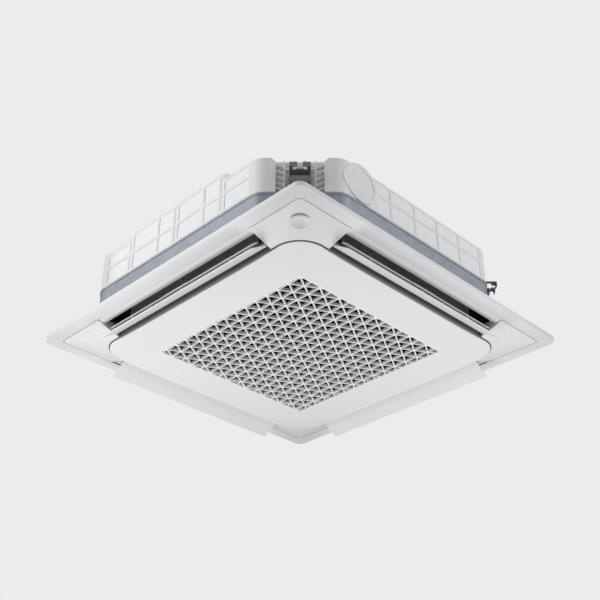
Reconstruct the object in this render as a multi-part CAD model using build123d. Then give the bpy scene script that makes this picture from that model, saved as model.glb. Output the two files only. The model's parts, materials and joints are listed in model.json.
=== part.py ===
from build123d import *
import math
import os

# Ceiling cassette air conditioner: a square decoration panel under an eight-sided unit body.
# Heights are worked out from the panel's flat room-side face, up. The row origin is the centre
# of the four hanger brackets' upper faces, so every finished piece is lowered by HANGER_HEIGHT.
# Sides by name: right is +X, back is +Y, left is -X, front is -Y.

# ---------------------------------------------------------------- unit body
CASE_SIDE = 840.0
CORNER_CUT = 111.0             # square's corner to the flat of the two right-hand corners
NEAR_CORNER_CUT = 100.0        # the same at the front left corner
PUMP_CORNER_CUT = 71.0         # the same at the back left corner
COLUMN_RADIUS = 45.0           # rounded columns beside each corner recess
PANEL_SEAL = 2.0               # foam seal between panel rim and unit body
BAND_HEIGHT = 99.0
BAND_STEEL = 1.2
HEM_HEIGHT = 6.0
HEM_PROUD = 1.4
CASING_HEIGHT = 99.0           # moulded upper casing above the band
CASING_WALL = 15.0
CASING_ROOF = 8.0
RIB_WIDTH = 8.0
POCKET_DEPTH = 2.0
POCKET_RADIUS = 5.0
MID_RIB_HEIGHT = 57.0          # above the band
RAISED_HEIGHT = 20.0           # raised part of the roof on the left side
RAISED_WIDTH = 84.0
RAISED_FROM, RAISED_TO = -172.0, 203.0
CORNER_ROOF = 8.0              # raised roof of the back left corner
DOUBLE_RIB = 15.0              # centre distance of the two lines of a double rib
LEFT_RIBS = (-195.0, -85.0, -15.0, 90.0, 157.0)
LEFT_DOUBLE = (-195.0, -15.0, 157.0)
FRONT_RIBS = (-112.0, -22.0, 66.0, 154.0)
FRONT_START = -163.0           # first rib line beside the knock-out disc
PLAIN_RIBS = (-168.0, -84.0, 0.0, 84.0, 168.0)
RIB_FIELD = 238.0              # half length of the ribbed stretch of a side
NEAR_FIELD = 252.0             # its end towards the front left corner
PUMP_FIELD = 292.0             # its end towards the back left corner
INSULATION = 2.1
LINER = 2.7
LINER_HEIGHT = 62.0
LINER_END_OPEN = 42.0          # bare stretch of duct wall at each end of a liner
TOP_STEEL = 1.2

# ---------------------------------------------------------------- corner recess and hanger bracket
RECESS_WIDTH = 112.0
RECESS_DEPTH = 5.0             # below the flat of the two right-hand corners
RECESS_CHAMFER = 11.0          # at the top of the columns
FIN_REACH = 11.0
RECESS_SKIN = 5.0
FIN_COUNT = 5
FIN_PITCH = 17.0
FIN_TILT = 20.0
FIN_THICKNESS = 3.0
RECESS_RIB_OFFSET = 36.0
HANGER_HEIGHT = 172.0
BRACKET_STEEL = 2.5
BRACKET_WIDTH = 49.0
BRACKET_REACH = 50.0
BRACKET_PLATE_LOW = 122.0
BRACKET_TIP = 12.0
BRACKET_FOOT_HEIGHT = 131.0
BRACKET_FOOT_REACH = 30.0
BRACKET_FOOT_CURL = 12.0       # radius of the foot's curled end
ROD_SLOT_INSET = 18.0          # slot centre from the bracket's tip
ROD_SLOT_WIDTH = 12.0
ROD_SLOT_SPAN = 33.0
BRACKET_TONGUE = 18.0
TONGUE_LENGTH = 9.0
BRACKET_SCREW_RADIUS = 4.5
BRACKET_SCREW_HEAD = 3.0

# ---------------------------------------------------------------- decoration panel frame
PANEL_OVERHANG = 55.0          # panel beyond the unit body on each side
PANEL_RADIUS = 20.0
PANEL_RIM = 11.0
FRAME_WALL = 2.5
BAND_WIDTH = 35.0              # flat outer band of the panel
SEAM_GAP = 0.8
SEAM_RADIUS = 12.0
DUCT_WIDTH = 42.5              # clear width of an air outlet
DUCT_WALL_LOW = -3.0
LIP_CLEARANCE = 0.6            # lip above the closed vane
LIP_HUMP = 11.0                # lowest line of the lip, from the seam
LIP_END = 1.8                  # height of the lip's rolled end
LIP_ROLL = 3.0
LIP_SOFT = 8.0                 # rounding of the lip's lowest line
INLET_MARGIN = 81.5            # suction opening inside the inner duct wall
SLOT_END_INSET = 19.5          # outlet end before the suction panel's corner rounding

# ---------------------------------------------------------------- suction panel and grille
SUCTION_EDGE_GAP = 1.0         # duct wall to suction panel
SUCTION_RADIUS = 70.0
SUCTION_TOP = -5.5
SUCTION_FACE = -30.0
SUCTION_EDGE_ROUND = 2.5
CORNER_LIFT = 5.0              # how far the face's corners are swept up
LIFT_START = 365.0             # where the sweep begins, along the diagonal
SUCTION_WALL = 3.0
COVER_GAP = 2.0                # suction panel to corner cover
GRILLE_MARGIN = 113.0          # suction panel edge to grille
GRILLE_DEPTH = 14.0
GRILLE_BORDER = 2.0
LATTICE_PITCH = 37.56
LATTICE_RIB = 2.8
LATTICE_START_X = 6.0          # first lattice vertex from the grille's edge
LATTICE_START_Y = 5.5
FILTER_MARGIN = 6.0            # grille edge to filter
FILTER_HEIGHT = 5.0
FILTER_BAR = 9.0
FILTER_GAP = 0.3
FILTER_MESH = 0.8
RAIL_WIDTH = 6.0
RAIL_LENGTH = 300.0

# ---------------------------------------------------------------- corner covers
COVER_DROP = 22.0
COVER_WALL = 2.0
DIMPLE_RADIUS = 24.5
DIMPLE_DEPTH = 8.0
DIMPLE_PLACE = 391.5
DIMPLE_BORDER = 3.0            # boss beyond the dimple's edge
DIMPLE_BOSS = 11.0             # boss top above the cover's surface
LENS_LENGTH, LENS_WIDTH = 6.0, 3.8
LENS_INSET = 10.0
LENS_PLACES = (-23.0, -40.0, -52.0, -58.5, -71.0)   # from the seam's corner
DISPLAY_BOARD = (14.0, 66.0, 1.6)

# ---------------------------------------------------------------- vanes
VANE_REST = 52.0               # opening angle at rest
VANE_THICKNESS = 2.8
VANE_END_GAP = 2.0
PIVOT_INSET = 12.5             # pivot from the inner duct wall
PIVOT_RISE = 6.1               # pivot above the closed vane's underside
VANE_TIP_GAP = 0.6
VANE_BEND = 7.5                # where the straight part starts, beyond the pivot
VANE_TAIL_INSET = 2.5          # tail edge from the inner duct wall
PIN_RADIUS = 2.5
PIN_CLEARANCE = 0.05
BOSS_RADIUS = 3.7
KNUCKLE = 20.0
STAY_THICKNESS = 3.0
STAY_WIDTH = 7.4
STAY_BAR = 2.3
BLADE_WIDTH = 18.0
BLADE_THICKNESS = 2.4
BLADE_RISE = 14.0              # upper blade above the vane
BLADE_OFFSET = 19.0            # upper blade's centre beyond the pivot, along the vane
BLADE_BOSS = (4.0, 90.0)       # widening and length of the blade's middle
BLADE_INSET = 9.0              # upper blade's end from the vane's end
BLADE_RIB_PITCH = 12.0
POST_THICKNESS = 3.0
POST_PLACES = (-180.0, 0.0, 180.0)
VANE_MOTOR_RADIUS = 9.5
VANE_MOTOR_LENGTH = 15.0
VANE_MOTOR_OFFSET = 7.5
BEARING_GAP = 3.0
BEARING_LENGTH = 6.0

# ---------------------------------------------------------------- hinge and latches
HINGE_INSET = 7.5              # hinge axis from the suction panel's edge
HINGE_AXIS = -25.0
HINGE_PIN_RADIUS = 1.5
HINGE_EYE_RADIUS = 2.7
HINGE_ARM_WIDTH = 10.0
HINGE_SIDE_GAP = 0.4
HINGE_CHEEK = 4.0
HINGE_PLACES = (-200.0, 200.0)
HINGE_ARM_LEAN = 17.0
HINGE_NOTCH_DROP = 0.4
LATCH_INSET = 42.0             # latch from the suction panel's edge
LATCH_PLACES = (-200.0, 200.0)
LATCH_TRAVEL = 4.0
LATCH_BODY = 20.0
LATCH_PLUNGER = 6.0
LATCH_SEAT_GAP = 0.3
STRIKER_TOP = -8.0

# ---------------------------------------------------------------- condensate, coil and air path
PAN_HEIGHT = 49.0
TROUGH_DEPTH = 12.0
TROUGH_MARGIN = 8.0
COIL_INSET = 26.5              # coil's outer face inside the inner duct wall
COIL_THICKNESS = 35.0
COIL_CORNER_GAP = 9.95         # coil to the recess's inner skin
COIL_GAP_FROM = 170.0          # coil ends either side of the back right corner
END_PLATE = 1.5
BEND_RADIUS = 10.0
BEND_TUBE = 3.5
BEND_COUNT = 4
BEND_PITCH = 24.0
BELL_THROAT = 178.0
BELL_MOUTH_RADIUS = 262.0
BELL_LOW = 44.0
BELL_HIGH = 78.0
BELL_WALL = 2.0
FAN_RADIUS = 225.0
FAN_TOP = 190.0
FAN_LOW = 86.0
FAN_SKIN = 3.0
FAN_EYE_RADIUS = 190.0
FAN_DOME_RADIUS = 92.0
HUB_TOP_RADIUS = 66.0
HUB_LOW = 96.0
HUB_RADIUS = 12.0
HUB_FLOOR = 115.0
FAN_BLADES = 7
FAN_BLADE_INNER = 140.0
FAN_BLADE_SWEEP = 42.0
FAN_BLADE_THICKNESS = 3.5
MOTOR_RADIUS = 58.0
MOTOR_LOW = 128.0
MOTOR_TOP = 196.0
SHAFT_RADIUS = 5.0
SHAFT_CLEARANCE = 0.05
SHAFT_LOW = 84.0
NUT_HEIGHT = 7.0
NUT_ACROSS = 14.0
BUSH_RADIUS = 9.0
BUSH_PLACE = 46.0

# ---------------------------------------------------------------- pump, float, pipes
PUMP_X = 212.0
PUMP_RADIUS = 24.0
PUMP_HEIGHT = 70.0
PUMP_WALL = 2.5
ROTOR_RADIUS = 17.0
ROTOR_SHAFT = 2.0
OUTLET_RADIUS = 16.0
OUTLET_WALL = 2.5
OUTLET_REACH = 45.0
OUTLET_HEIGHT = 160.0
FLOAT_X = 262.0
FLOAT_STEM_RADIUS = 4.0
FLOAT_RADIUS = 13.0
FLOAT_HEIGHT = 16.0
FLOAT_TRAVEL = 12.0
FLOAT_FOOT = 3.0               # thickness of the stem's foot and cap
FLOAT_CAP_RADIUS = 9.0
FLOAT_END_GAP = 0.3
FLOAT_CLEARANCE = 0.08
GAS_RADIUS, LIQUID_RADIUS = 7.94, 4.76
GAS_Y, LIQUID_Y = 226.0, 196.0
GAS_HEIGHT, LIQUID_HEIGHT = 168.0, 189.0
GAS_ROW, LIQUID_ROW = 24.0, 7.0          # pipe in the end plate, from the coil's inner face
GAS_BEND, LIQUID_BEND = 40.0, 18.0
PIPE_REACH = 38.0
PIPE_PLATE = (62.0, 48.0, 1.5)
PIPE_PLATE_HEIGHT = 178.0
FLARE_LENGTH = 18.0

# ---------------------------------------------------------------- knock-out disc
KNOCKOUT_PLACE = -221.0
KNOCKOUT_HEIGHT = 166.3
KNOCKOUT_RADIUS = 54.0
KNOCKOUT_RING = 44.0
KNOCKOUT_PROUD = 4.0
KNOCKOUT_SEAT = 6.0

# ---------------------------------------------------------------- electrics
BOX_LENGTH, BOX_WIDTH, BOX_HEIGHT = 250.0, 66.0, 27.0
BOX_STEEL = 1.2
BOX_EDGE_GAP = 6.0
BOARD_THICKNESS = 1.6
TERMINAL = (34.0, 18.0, 12.0)
SENSOR = (18.0, 7.0, 12.0)

# ---------------------------------------------------------------- derived places
CASE_HALF = CASE_SIDE / 2
SQUARE_REACH = math.sqrt(2) * CASE_HALF
CASE_DIAGONAL = SQUARE_REACH - CORNER_CUT
CASE_BOTTOM = PANEL_RIM + PANEL_SEAL
BAND_TOP = CASE_BOTTOM + BAND_HEIGHT
CASE_TOP = BAND_TOP + CASING_HEIGHT
ROOF_UNDER = CASE_TOP - CASING_ROOF
TOP_PLATE_LOW = ROOF_UNDER - TOP_STEEL
MID_RIB = BAND_TOP + MID_RIB_HEIGHT
RAISED_TOP = CASE_TOP + RAISED_HEIGHT
PANEL_HALF = CASE_HALF + PANEL_OVERHANG
SEAM_HALF = PANEL_HALF - BAND_WIDTH
FRAME_IN = SEAM_HALF + SEAM_GAP
DUCT_OUT = CASE_HALF - BAND_STEEL - INSULATION - LINER
DUCT_IN = DUCT_OUT - DUCT_WIDTH
SUCTION_HALF = DUCT_IN - SUCTION_EDGE_GAP
COVER_IN = SUCTION_HALF + COVER_GAP
SLOT_HALF = SUCTION_HALF - SUCTION_RADIUS - SLOT_END_INSET
INLET_HALF = DUCT_IN - INLET_MARGIN
DECK_TOP = CASE_BOTTOM
DECK_LOW = DECK_TOP - FRAME_WALL
GRILLE_HALF = SUCTION_HALF - GRILLE_MARGIN
FILTER_HALF = GRILLE_HALF - FILTER_MARGIN
GRILLE_LOW = SUCTION_FACE
GRILLE_TOP = GRILLE_LOW + GRILLE_DEPTH
FILTER_LOW = GRILLE_TOP + FILTER_GAP
FILTER_TOP = FILTER_LOW + FILTER_HEIGHT
COIL_HALF = DUCT_IN - COIL_INSET
COIL_INNER = COIL_HALF - COIL_THICKNESS
PUMP_Y = FLOAT_Y = COIL_HALF - COIL_THICKNESS / 2
PAN_TOP = CASE_BOTTOM + PAN_HEIGHT
TROUGH_FLOOR = PAN_TOP - TROUGH_DEPTH
PIVOT_S = DUCT_IN + PIVOT_INSET
COVER_SLOPE = COVER_DROP / (SEAM_HALF - COVER_IN)
PIVOT_Z = -COVER_DROP + (PIVOT_S - COVER_IN) * COVER_SLOPE + PIVOT_RISE
VANE_HALF = SLOT_HALF - VANE_END_GAP
RECESS_FLOOR = CASE_DIAGONAL - RECESS_DEPTH
COIL_RADIUS = (math.sqrt(2) * COIL_HALF - RECESS_FLOOR + RECESS_SKIN + COIL_CORNER_GAP) / (math.sqrt(2) - 1)
HINGE_X = SUCTION_HALF - HINGE_INSET
SIDES = ("right", "back", "left", "front")
CORNERS = ("back_right", "back_left", "front_left", "front_right")
DIAGONALS = (CASE_DIAGONAL, SQUARE_REACH - PUMP_CORNER_CUT, SQUARE_REACH - NEAR_CORNER_CUT, CASE_DIAGONAL)


# ---------------------------------------------------------------- small helpers
def square(half, radius):
    """Rounded square centred on the axis."""
    return RectangleRounded(2 * half, 2 * half, radius)


def slab(sketch, low, high):
    """The sketch pulled straight up between two heights."""
    return extrude(Pos(0, 0, low) * sketch, high - low)


def block(x0, x1, y0, y1, z0, z1):
    """A box given by its limits."""
    return Pos((x0 + x1) / 2, (y0 + y1) / 2, (z0 + z1) / 2) * Box(x1 - x0, y1 - y0, z1 - z0)


def rod(radius, low, high, x=0.0, y=0.0):
    """An upright cylinder between two heights."""
    return Pos(x, y, (low + high) / 2) * Cylinder(radius, high - low)


def rod_along_y(radius, x, z, y0, y1):
    """A cylinder along Y."""
    return Pos(x, (y0 + y1) / 2, z) * Rot(90, 0, 0) * Cylinder(radius, y1 - y0)


def rod_along_x(radius, y, z, x0, x1):
    """A cylinder along X."""
    return Pos((x0 + x1) / 2, y, z) * Rot(0, 90, 0) * Cylinder(radius, x1 - x0)


def profile(points, y0, y1):
    """A closed XZ outline pulled along Y."""
    face = Plane.XZ * Polygon(*points, align=None)
    return Pos(0, (y0 + y1) / 2, 0) * extrude(face, (y1 - y0) / 2, both=True)


def turned(shape, quarter):
    """The piece made for the right side, turned to another side."""
    return Rot(0, 0, 90 * quarter) * shape


def all_sides(shape):
    """Four copies, one for each side."""
    return [turned(shape, quarter) for quarter in range(4)]


def all_corners(shape):
    """Four copies of a piece made along +X, turned to the corners."""
    return [Rot(0, 0, 45 + 90 * quarter) * shape for quarter in range(4)]


def case_outline(inset):
    """The unit body's eight-sided outline with rounded columns, moved in by inset."""
    half = CASE_HALF - inset
    a, b, c, d = [(diagonal - inset) * math.sqrt(2) - half for diagonal in DIAGONALS]
    points = [(half, -d), (half, a), (a, half), (-b, half), (-half, b), (-half, -c), (-c, -half), (d, -half)]
    outline = Polygon(*points, align=None)
    return fillet(outline.vertices(), COLUMN_RADIUS - inset)


# ---------------------------------------------------------------- unit body
def rib_lines(places, doubles, start, stop):
    """Centre lines of a side's upright ribs between two ends, with both lines of each double rib."""
    lines = [start - RIB_WIDTH / 2]
    for place in places:
        if place in doubles:
            lines += [place - DOUBLE_RIB / 2, place + DOUBLE_RIB / 2]
        else:
            lines.append(place)
    return lines + [stop + RIB_WIDTH / 2]


def side_pockets(lines, raised):
    """Rounded pockets between the ribs of one side, in two rows, for the right side."""
    pockets = []
    base = Plane(origin=(CASE_HALF - POCKET_DEPTH, 0, 0), x_dir=(0, 1, 0), z_dir=(1, 0, 0))
    for start, stop in zip(lines, lines[1:]):
        low_t, high_t = start + RIB_WIDTH / 2, stop - RIB_WIDTH / 2
        middle = (low_t + high_t) / 2
        top = RAISED_TOP if raised[0] < middle < raised[1] else CASE_TOP
        for z0, z1 in ((BAND_TOP + RIB_WIDTH, MID_RIB - RIB_WIDTH / 2),
                       (MID_RIB + RIB_WIDTH / 2, top - RIB_WIDTH)):
            wide, tall = high_t - low_t, z1 - z0
            radius = min(POCKET_RADIUS, wide / 2.5)
            face = base * Pos(middle, (z0 + z1) / 2) * RectangleRounded(wide, tall, radius)
            pockets.append(extrude(face, 2 * POCKET_DEPTH))
    return pockets


def raised_roof():
    """The raised part of the roof along the left side."""
    wide, long = RAISED_WIDTH, RAISED_TO - RAISED_FROM
    outline = Pos(-CASE_HALF + wide / 2, (RAISED_FROM + RAISED_TO) / 2) * RectangleRounded(wide, long, 22)
    outer = slab(outline, CASE_TOP - CASING_ROOF / 2, RAISED_TOP)
    square_edge = block(-CASE_HALF, -CASE_HALF + 25, RAISED_FROM + 25, RAISED_TO - 25,
                        CASE_TOP - CASING_ROOF / 2, RAISED_TOP)
    return outer + square_edge


def recess_cut():
    """The recess in a corner with chamfered column tops, cut from the casing, along +X."""
    far = max(DIAGONALS) + 10
    cuts = [block(RECESS_FLOOR, far, -RECESS_WIDTH / 2, RECESS_WIDTH / 2, BAND_TOP - 1, RAISED_TOP)]
    side = RECESS_CHAMFER * math.sqrt(2)
    for hand in (-1, 1):
        bevel = Rot(45, 0, 0) * Box(far - RECESS_FLOOR, side, side)
        cuts.append(Pos((far + RECESS_FLOOR) / 2, hand * RECESS_WIDTH / 2, CASE_TOP) * bevel)
    return cuts


def recess_ribs(diagonal):
    """Two upright ribs, a cross rib and slanted fins in a corner recess, along +X."""
    x0, x1 = RECESS_FLOOR - 1, min(RECESS_FLOOR + FIN_REACH, diagonal - 2)
    shapes = []
    for hand in (-1, 1):
        y = hand * RECESS_RIB_OFFSET
        shapes.append(block(x0, x1, y - 1.5, y + 1.5, BAND_TOP, CASE_TOP - 4))
        fin_y = hand * (RECESS_RIB_OFFSET + RECESS_WIDTH / 2) / 2
        for index in range(FIN_COUNT):
            z = BAND_TOP + FIN_PITCH * (index + 0.75)
            fin = Box(x1 - x0, RECESS_WIDTH / 2 - RECESS_RIB_OFFSET + 4, FIN_THICKNESS)
            shapes.append(Pos((x0 + x1) / 2, fin_y, z) * Rot(hand * FIN_TILT, 0, 0) * fin)
    for y in (-12.0, 12.0):
        shapes.append(block(x0, x1, y - 1.2, y + 1.2, HANGER_HEIGHT + 9, CASE_TOP - 4))
    shapes.append(block(x0, x1, -RECESS_RIB_OFFSET, RECESS_RIB_OFFSET, HANGER_HEIGHT + 9, HANGER_HEIGHT + 12))
    return shapes


def upper_casing():
    """Moulded casing: wall and roof, ribbed sides, raised roof and four corner recesses."""
    corner = block(-CASE_HALF, -CASE_HALF + RAISED_WIDTH, RAISED_TO - 2 * COLUMN_RADIUS, CASE_HALF,
                   CASE_TOP - CASING_ROOF / 2, CASE_TOP + CORNER_ROOF)
    corner = corner & slab(case_outline(0), BAND_TOP, RAISED_TOP)
    body = slab(case_outline(0), BAND_TOP, CASE_TOP) + [raised_roof(), corner]
    none = (1.0, -1.0)
    sides = (
        (rib_lines(PLAIN_RIBS, (), -RIB_FIELD, RIB_FIELD), none),
        (rib_lines(PLAIN_RIBS, (), -RIB_FIELD, PUMP_FIELD), none),
        (rib_lines(LEFT_RIBS, LEFT_DOUBLE, -PUMP_FIELD, NEAR_FIELD), (-RAISED_TO, -RAISED_FROM)),
        (rib_lines(FRONT_RIBS, (), FRONT_START, RIB_FIELD), none),
    )
    cuts = []
    for quarter, (lines, raised) in enumerate(sides):
        cuts += [turned(pocket, quarter) for pocket in side_pockets(lines, raised)]
    for cut in recess_cut():
        cuts += all_corners(cut)
    body = body - cuts
    for quarter, diagonal in enumerate(DIAGONALS):
        body = body + [Rot(0, 0, 45 + 90 * quarter) * rib for rib in recess_ribs(diagonal)]
    hollow = slab(case_outline(CASING_WALL), BAND_TOP - 1, ROOF_UNDER)
    corner_skin = all_corners(block(RECESS_FLOOR - RECESS_SKIN, max(DIAGONALS), -RECESS_WIDTH / 2 - 8,
                                    RECESS_WIDTH / 2 + 8, BAND_TOP - 2, CASE_TOP))
    body = body - (hollow - corner_skin)
    body = body & slab(square(CASE_HALF, 1), BAND_TOP, RAISED_TOP)
    seat = rod_along_y(KNOCKOUT_RADIUS + 0.3, KNOCKOUT_PLACE, KNOCKOUT_HEIGHT,
                       -CASE_HALF - 1, -CASE_HALF + KNOCKOUT_SEAT)
    gas = rod_along_x(GAS_RADIUS + 1, GAS_Y, GAS_HEIGHT, COIL_HALF, CASE_HALF + 1)
    liquid = rod_along_x(LIQUID_RADIUS + 1, LIQUID_Y, LIQUID_HEIGHT, COIL_HALF, CASE_HALF + 1)
    outlet = rod_along_y(OUTLET_RADIUS + 0.3, PUMP_X, OUTLET_HEIGHT, COIL_HALF, CASE_HALF + 1)
    plate = block(CASE_HALF - POCKET_DEPTH, CASE_HALF + 1, (GAS_Y + LIQUID_Y - PIPE_PLATE[0]) / 2 - 0.3,
                  (GAS_Y + LIQUID_Y + PIPE_PLATE[0]) / 2 + 0.3, PIPE_PLATE_HEIGHT - PIPE_PLATE[1] / 2 - 0.3,
                  PIPE_PLATE_HEIGHT + PIPE_PLATE[1] / 2 + 0.3)
    return body - [seat, gas, liquid, outlet, plate]


def lower_band():
    """Galvanised band with a rolled hem at its upper edge."""
    wall = slab(case_outline(0), CASE_BOTTOM, BAND_TOP) - slab(case_outline(BAND_STEEL), CASE_BOTTOM, BAND_TOP)
    hem = slab(case_outline(-HEM_PROUD), BAND_TOP - HEM_HEIGHT, BAND_TOP)
    return wall + (hem - slab(case_outline(BAND_STEEL), BAND_TOP - HEM_HEIGHT, BAND_TOP))


def foam_insulation():
    """Thin black insulation inside the band."""
    outer = slab(case_outline(BAND_STEEL), CASE_BOTTOM, BAND_TOP)
    return outer - slab(case_outline(BAND_STEEL + INSULATION), CASE_BOTTOM, BAND_TOP)


def inner_liner(inset):
    """Dark liner on the inner wall of an outlet, let into the drain pan, right side."""
    half = SLOT_HALF - LINER_END_OPEN
    return block(DUCT_IN - LINER, DUCT_IN + inset, -half, half, CASE_BOTTOM - inset, PAN_TOP + inset)


def duct_liners():
    """Dark liners on the outer and inner wall of each outlet."""
    half = SLOT_HALF - LINER_END_OPEN
    outer = block(DUCT_OUT, DUCT_OUT + LINER, -half, half, CASE_BOTTOM, CASE_BOTTOM + LINER_HEIGHT)
    return all_sides(outer) + all_sides(inner_liner(0))


def top_plate():
    """Steel plate under the roof that carries motor and coil."""
    return slab(case_outline(CASING_WALL + 0.5) & square(CASE_HALF, 1), TOP_PLATE_LOW, ROOF_UNDER) - all_corners(
        block(RECESS_FLOOR - RECESS_SKIN - 0.5, max(DIAGONALS), -RECESS_WIDTH / 2 - 9, RECESS_WIDTH / 2 + 9,
              TOP_PLATE_LOW - 1, ROOF_UNDER + 1))


def hanger_bracket():
    """Bent steel bracket with an open slot for a hanging rod, along +X."""
    root, tip = RECESS_FLOOR, RECESS_FLOOR + BRACKET_REACH
    half = BRACKET_WIDTH / 2
    slot = tip - ROD_SLOT_INSET
    bracket = block(root, root + BRACKET_STEEL, -half, half, BRACKET_PLATE_LOW, HANGER_HEIGHT)
    bracket += block(root, tip, -half, half, HANGER_HEIGHT - BRACKET_STEEL, HANGER_HEIGHT)
    bracket += block(tip - BRACKET_STEEL, tip, -half, half, HANGER_HEIGHT - BRACKET_TIP, HANGER_HEIGHT)
    foot, curl, low = root + BRACKET_FOOT_REACH, BRACKET_FOOT_CURL, BRACKET_FOOT_HEIGHT
    bracket += block(root, foot - curl, -half, half, low, low + BRACKET_STEEL)
    tube = rod_along_y(curl, foot - curl, low + curl, -half, half)
    tube -= rod_along_y(curl - BRACKET_STEEL, foot - curl, low + curl, -half - 1, half + 1)
    bracket += tube & block(foot - curl, foot + 1, -half, half, low - 1, low + 1.7 * curl)
    mouth = block(slot, tip + 1, -ROD_SLOT_WIDTH / 2, ROD_SLOT_WIDTH / 2, HANGER_HEIGHT - BRACKET_TIP - 1,
                  HANGER_HEIGHT + 1)
    wide = Pos(slot, 0) * Rot(0, 0, 90) * SlotOverall(ROD_SLOT_SPAN, ROD_SLOT_WIDTH)
    cross = slab(wide, HANGER_HEIGHT - BRACKET_STEEL - 1, HANGER_HEIGHT + 1)
    legs = block(slot - TONGUE_LENGTH, slot, -ROD_SLOT_SPAN / 2, ROD_SLOT_SPAN / 2,
                 HANGER_HEIGHT - BRACKET_STEEL - 1, HANGER_HEIGHT + 1)
    tongue = block(slot - TONGUE_LENGTH - 1, slot - ROD_SLOT_WIDTH / 2, -BRACKET_TONGUE / 2, BRACKET_TONGUE / 2,
                   HANGER_HEIGHT - BRACKET_STEEL - 2, HANGER_HEIGHT + 2)
    bracket = bracket - [mouth, cross, legs - tongue]
    return fillet([e for e in bracket.edges().filter_by(Axis.Z)
                   if abs(abs(e.center().Y) - half) < 0.01 and abs(e.center().X - tip) < 0.01], 1.5)


def bracket_screws():
    """Two screw heads on each bracket's back plate."""
    screws = []
    for y in (-14.0, 14.0):
        head = Pos(RECESS_FLOOR + BRACKET_STEEL + BRACKET_SCREW_HEAD / 2, y, HANGER_HEIGHT - 16) * Rot(0, 90, 0)
        screws += all_corners(head * Cylinder(BRACKET_SCREW_RADIUS, BRACKET_SCREW_HEAD))
    return screws


def knockout_disc():
    """Fresh-air knock-out disc with a raised rim, on the front side."""
    face = -CASE_HALF - KNOCKOUT_PROUD
    disc = rod_along_y(KNOCKOUT_RADIUS, KNOCKOUT_PLACE, KNOCKOUT_HEIGHT, face, -CASE_HALF + KNOCKOUT_SEAT)
    dish = rod_along_y(KNOCKOUT_RING, KNOCKOUT_PLACE, KNOCKOUT_HEIGHT, face - 1, face + 2)
    return fillet((disc - dish).edges().group_by(Axis.Y)[0], 0.8)


# ---------------------------------------------------------------- decoration panel
def air_lip():
    """Guide lip of an outlet, right side: set back for the closed vane's edge, humped, with a rolled end."""
    edge = SEAM_HALF - 0.2
    back = VANE_THICKNESS + LIP_CLEARANCE
    points = [(edge, back), (SEAM_HALF - LIP_HUMP, back - LIP_HUMP * COVER_SLOPE), (DUCT_OUT, LIP_END),
              (DUCT_OUT, DECK_LOW), (edge, DECK_LOW)]
    outline = Polygon(*points, align=None)
    outline = fillet(outline.vertices().sort_by_distance((*points[2], 0))[0], LIP_ROLL)
    outline = fillet(outline.vertices().sort_by_distance((*points[1], 0))[0], LIP_SOFT)
    return extrude(Plane.XZ * outline, SLOT_HALF, both=True)


def panel_frame():
    """Square frame: flat band, rim, seam wall, deck with four outlets, lips and inner duct walls."""
    band = slab(square(PANEL_HALF, PANEL_RADIUS) - square(FRAME_IN, SEAM_RADIUS), 0, FRAME_WALL)
    rim = slab(square(PANEL_HALF, PANEL_RADIUS) - square(PANEL_HALF - FRAME_WALL, PANEL_RADIUS - FRAME_WALL),
               0, PANEL_RIM)
    wall_out = square(FRAME_IN + FRAME_WALL, SEAM_RADIUS + FRAME_WALL)
    seam_wall = slab(wall_out - square(FRAME_IN, SEAM_RADIUS), 0, DECK_TOP)
    deck = slab(wall_out - square(INLET_HALF, 10), DECK_LOW, DECK_TOP)
    outlets = all_sides(block(DUCT_IN, DUCT_OUT, -SLOT_HALF, SLOT_HALF, DECK_LOW - 1, DECK_TOP + 1))
    wall = block(DUCT_IN - FRAME_WALL + 0.3, DUCT_IN, -SLOT_HALF, SLOT_HALF, DUCT_WALL_LOW, DECK_LOW)
    frame = band + rim + seam_wall + deck + all_sides(air_lip()) + all_sides(wall)
    return frame - outlets


def cover_solid(inset, low, high):
    """The body between the two rounded squares of a corner cover, raised by low and narrowed by inset."""
    outer = SEAM_HALF - inset
    lower = Pos(0, 0, -COVER_DROP + low) * square(COVER_IN, SUCTION_RADIUS + COVER_GAP)
    upper = Pos(0, 0, low) * square(SEAM_HALF, SEAM_RADIUS)
    body = loft([lower, upper], ruled=True) + slab(square(SEAM_HALF, SEAM_RADIUS), low, high)
    body = body & slab(square(outer, SEAM_RADIUS - inset), -COVER_DROP - 1, high)
    hole = slab(square(COVER_IN, SUCTION_RADIUS + COVER_GAP), -COVER_DROP - 1, high + 1)
    return body - hole


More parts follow.
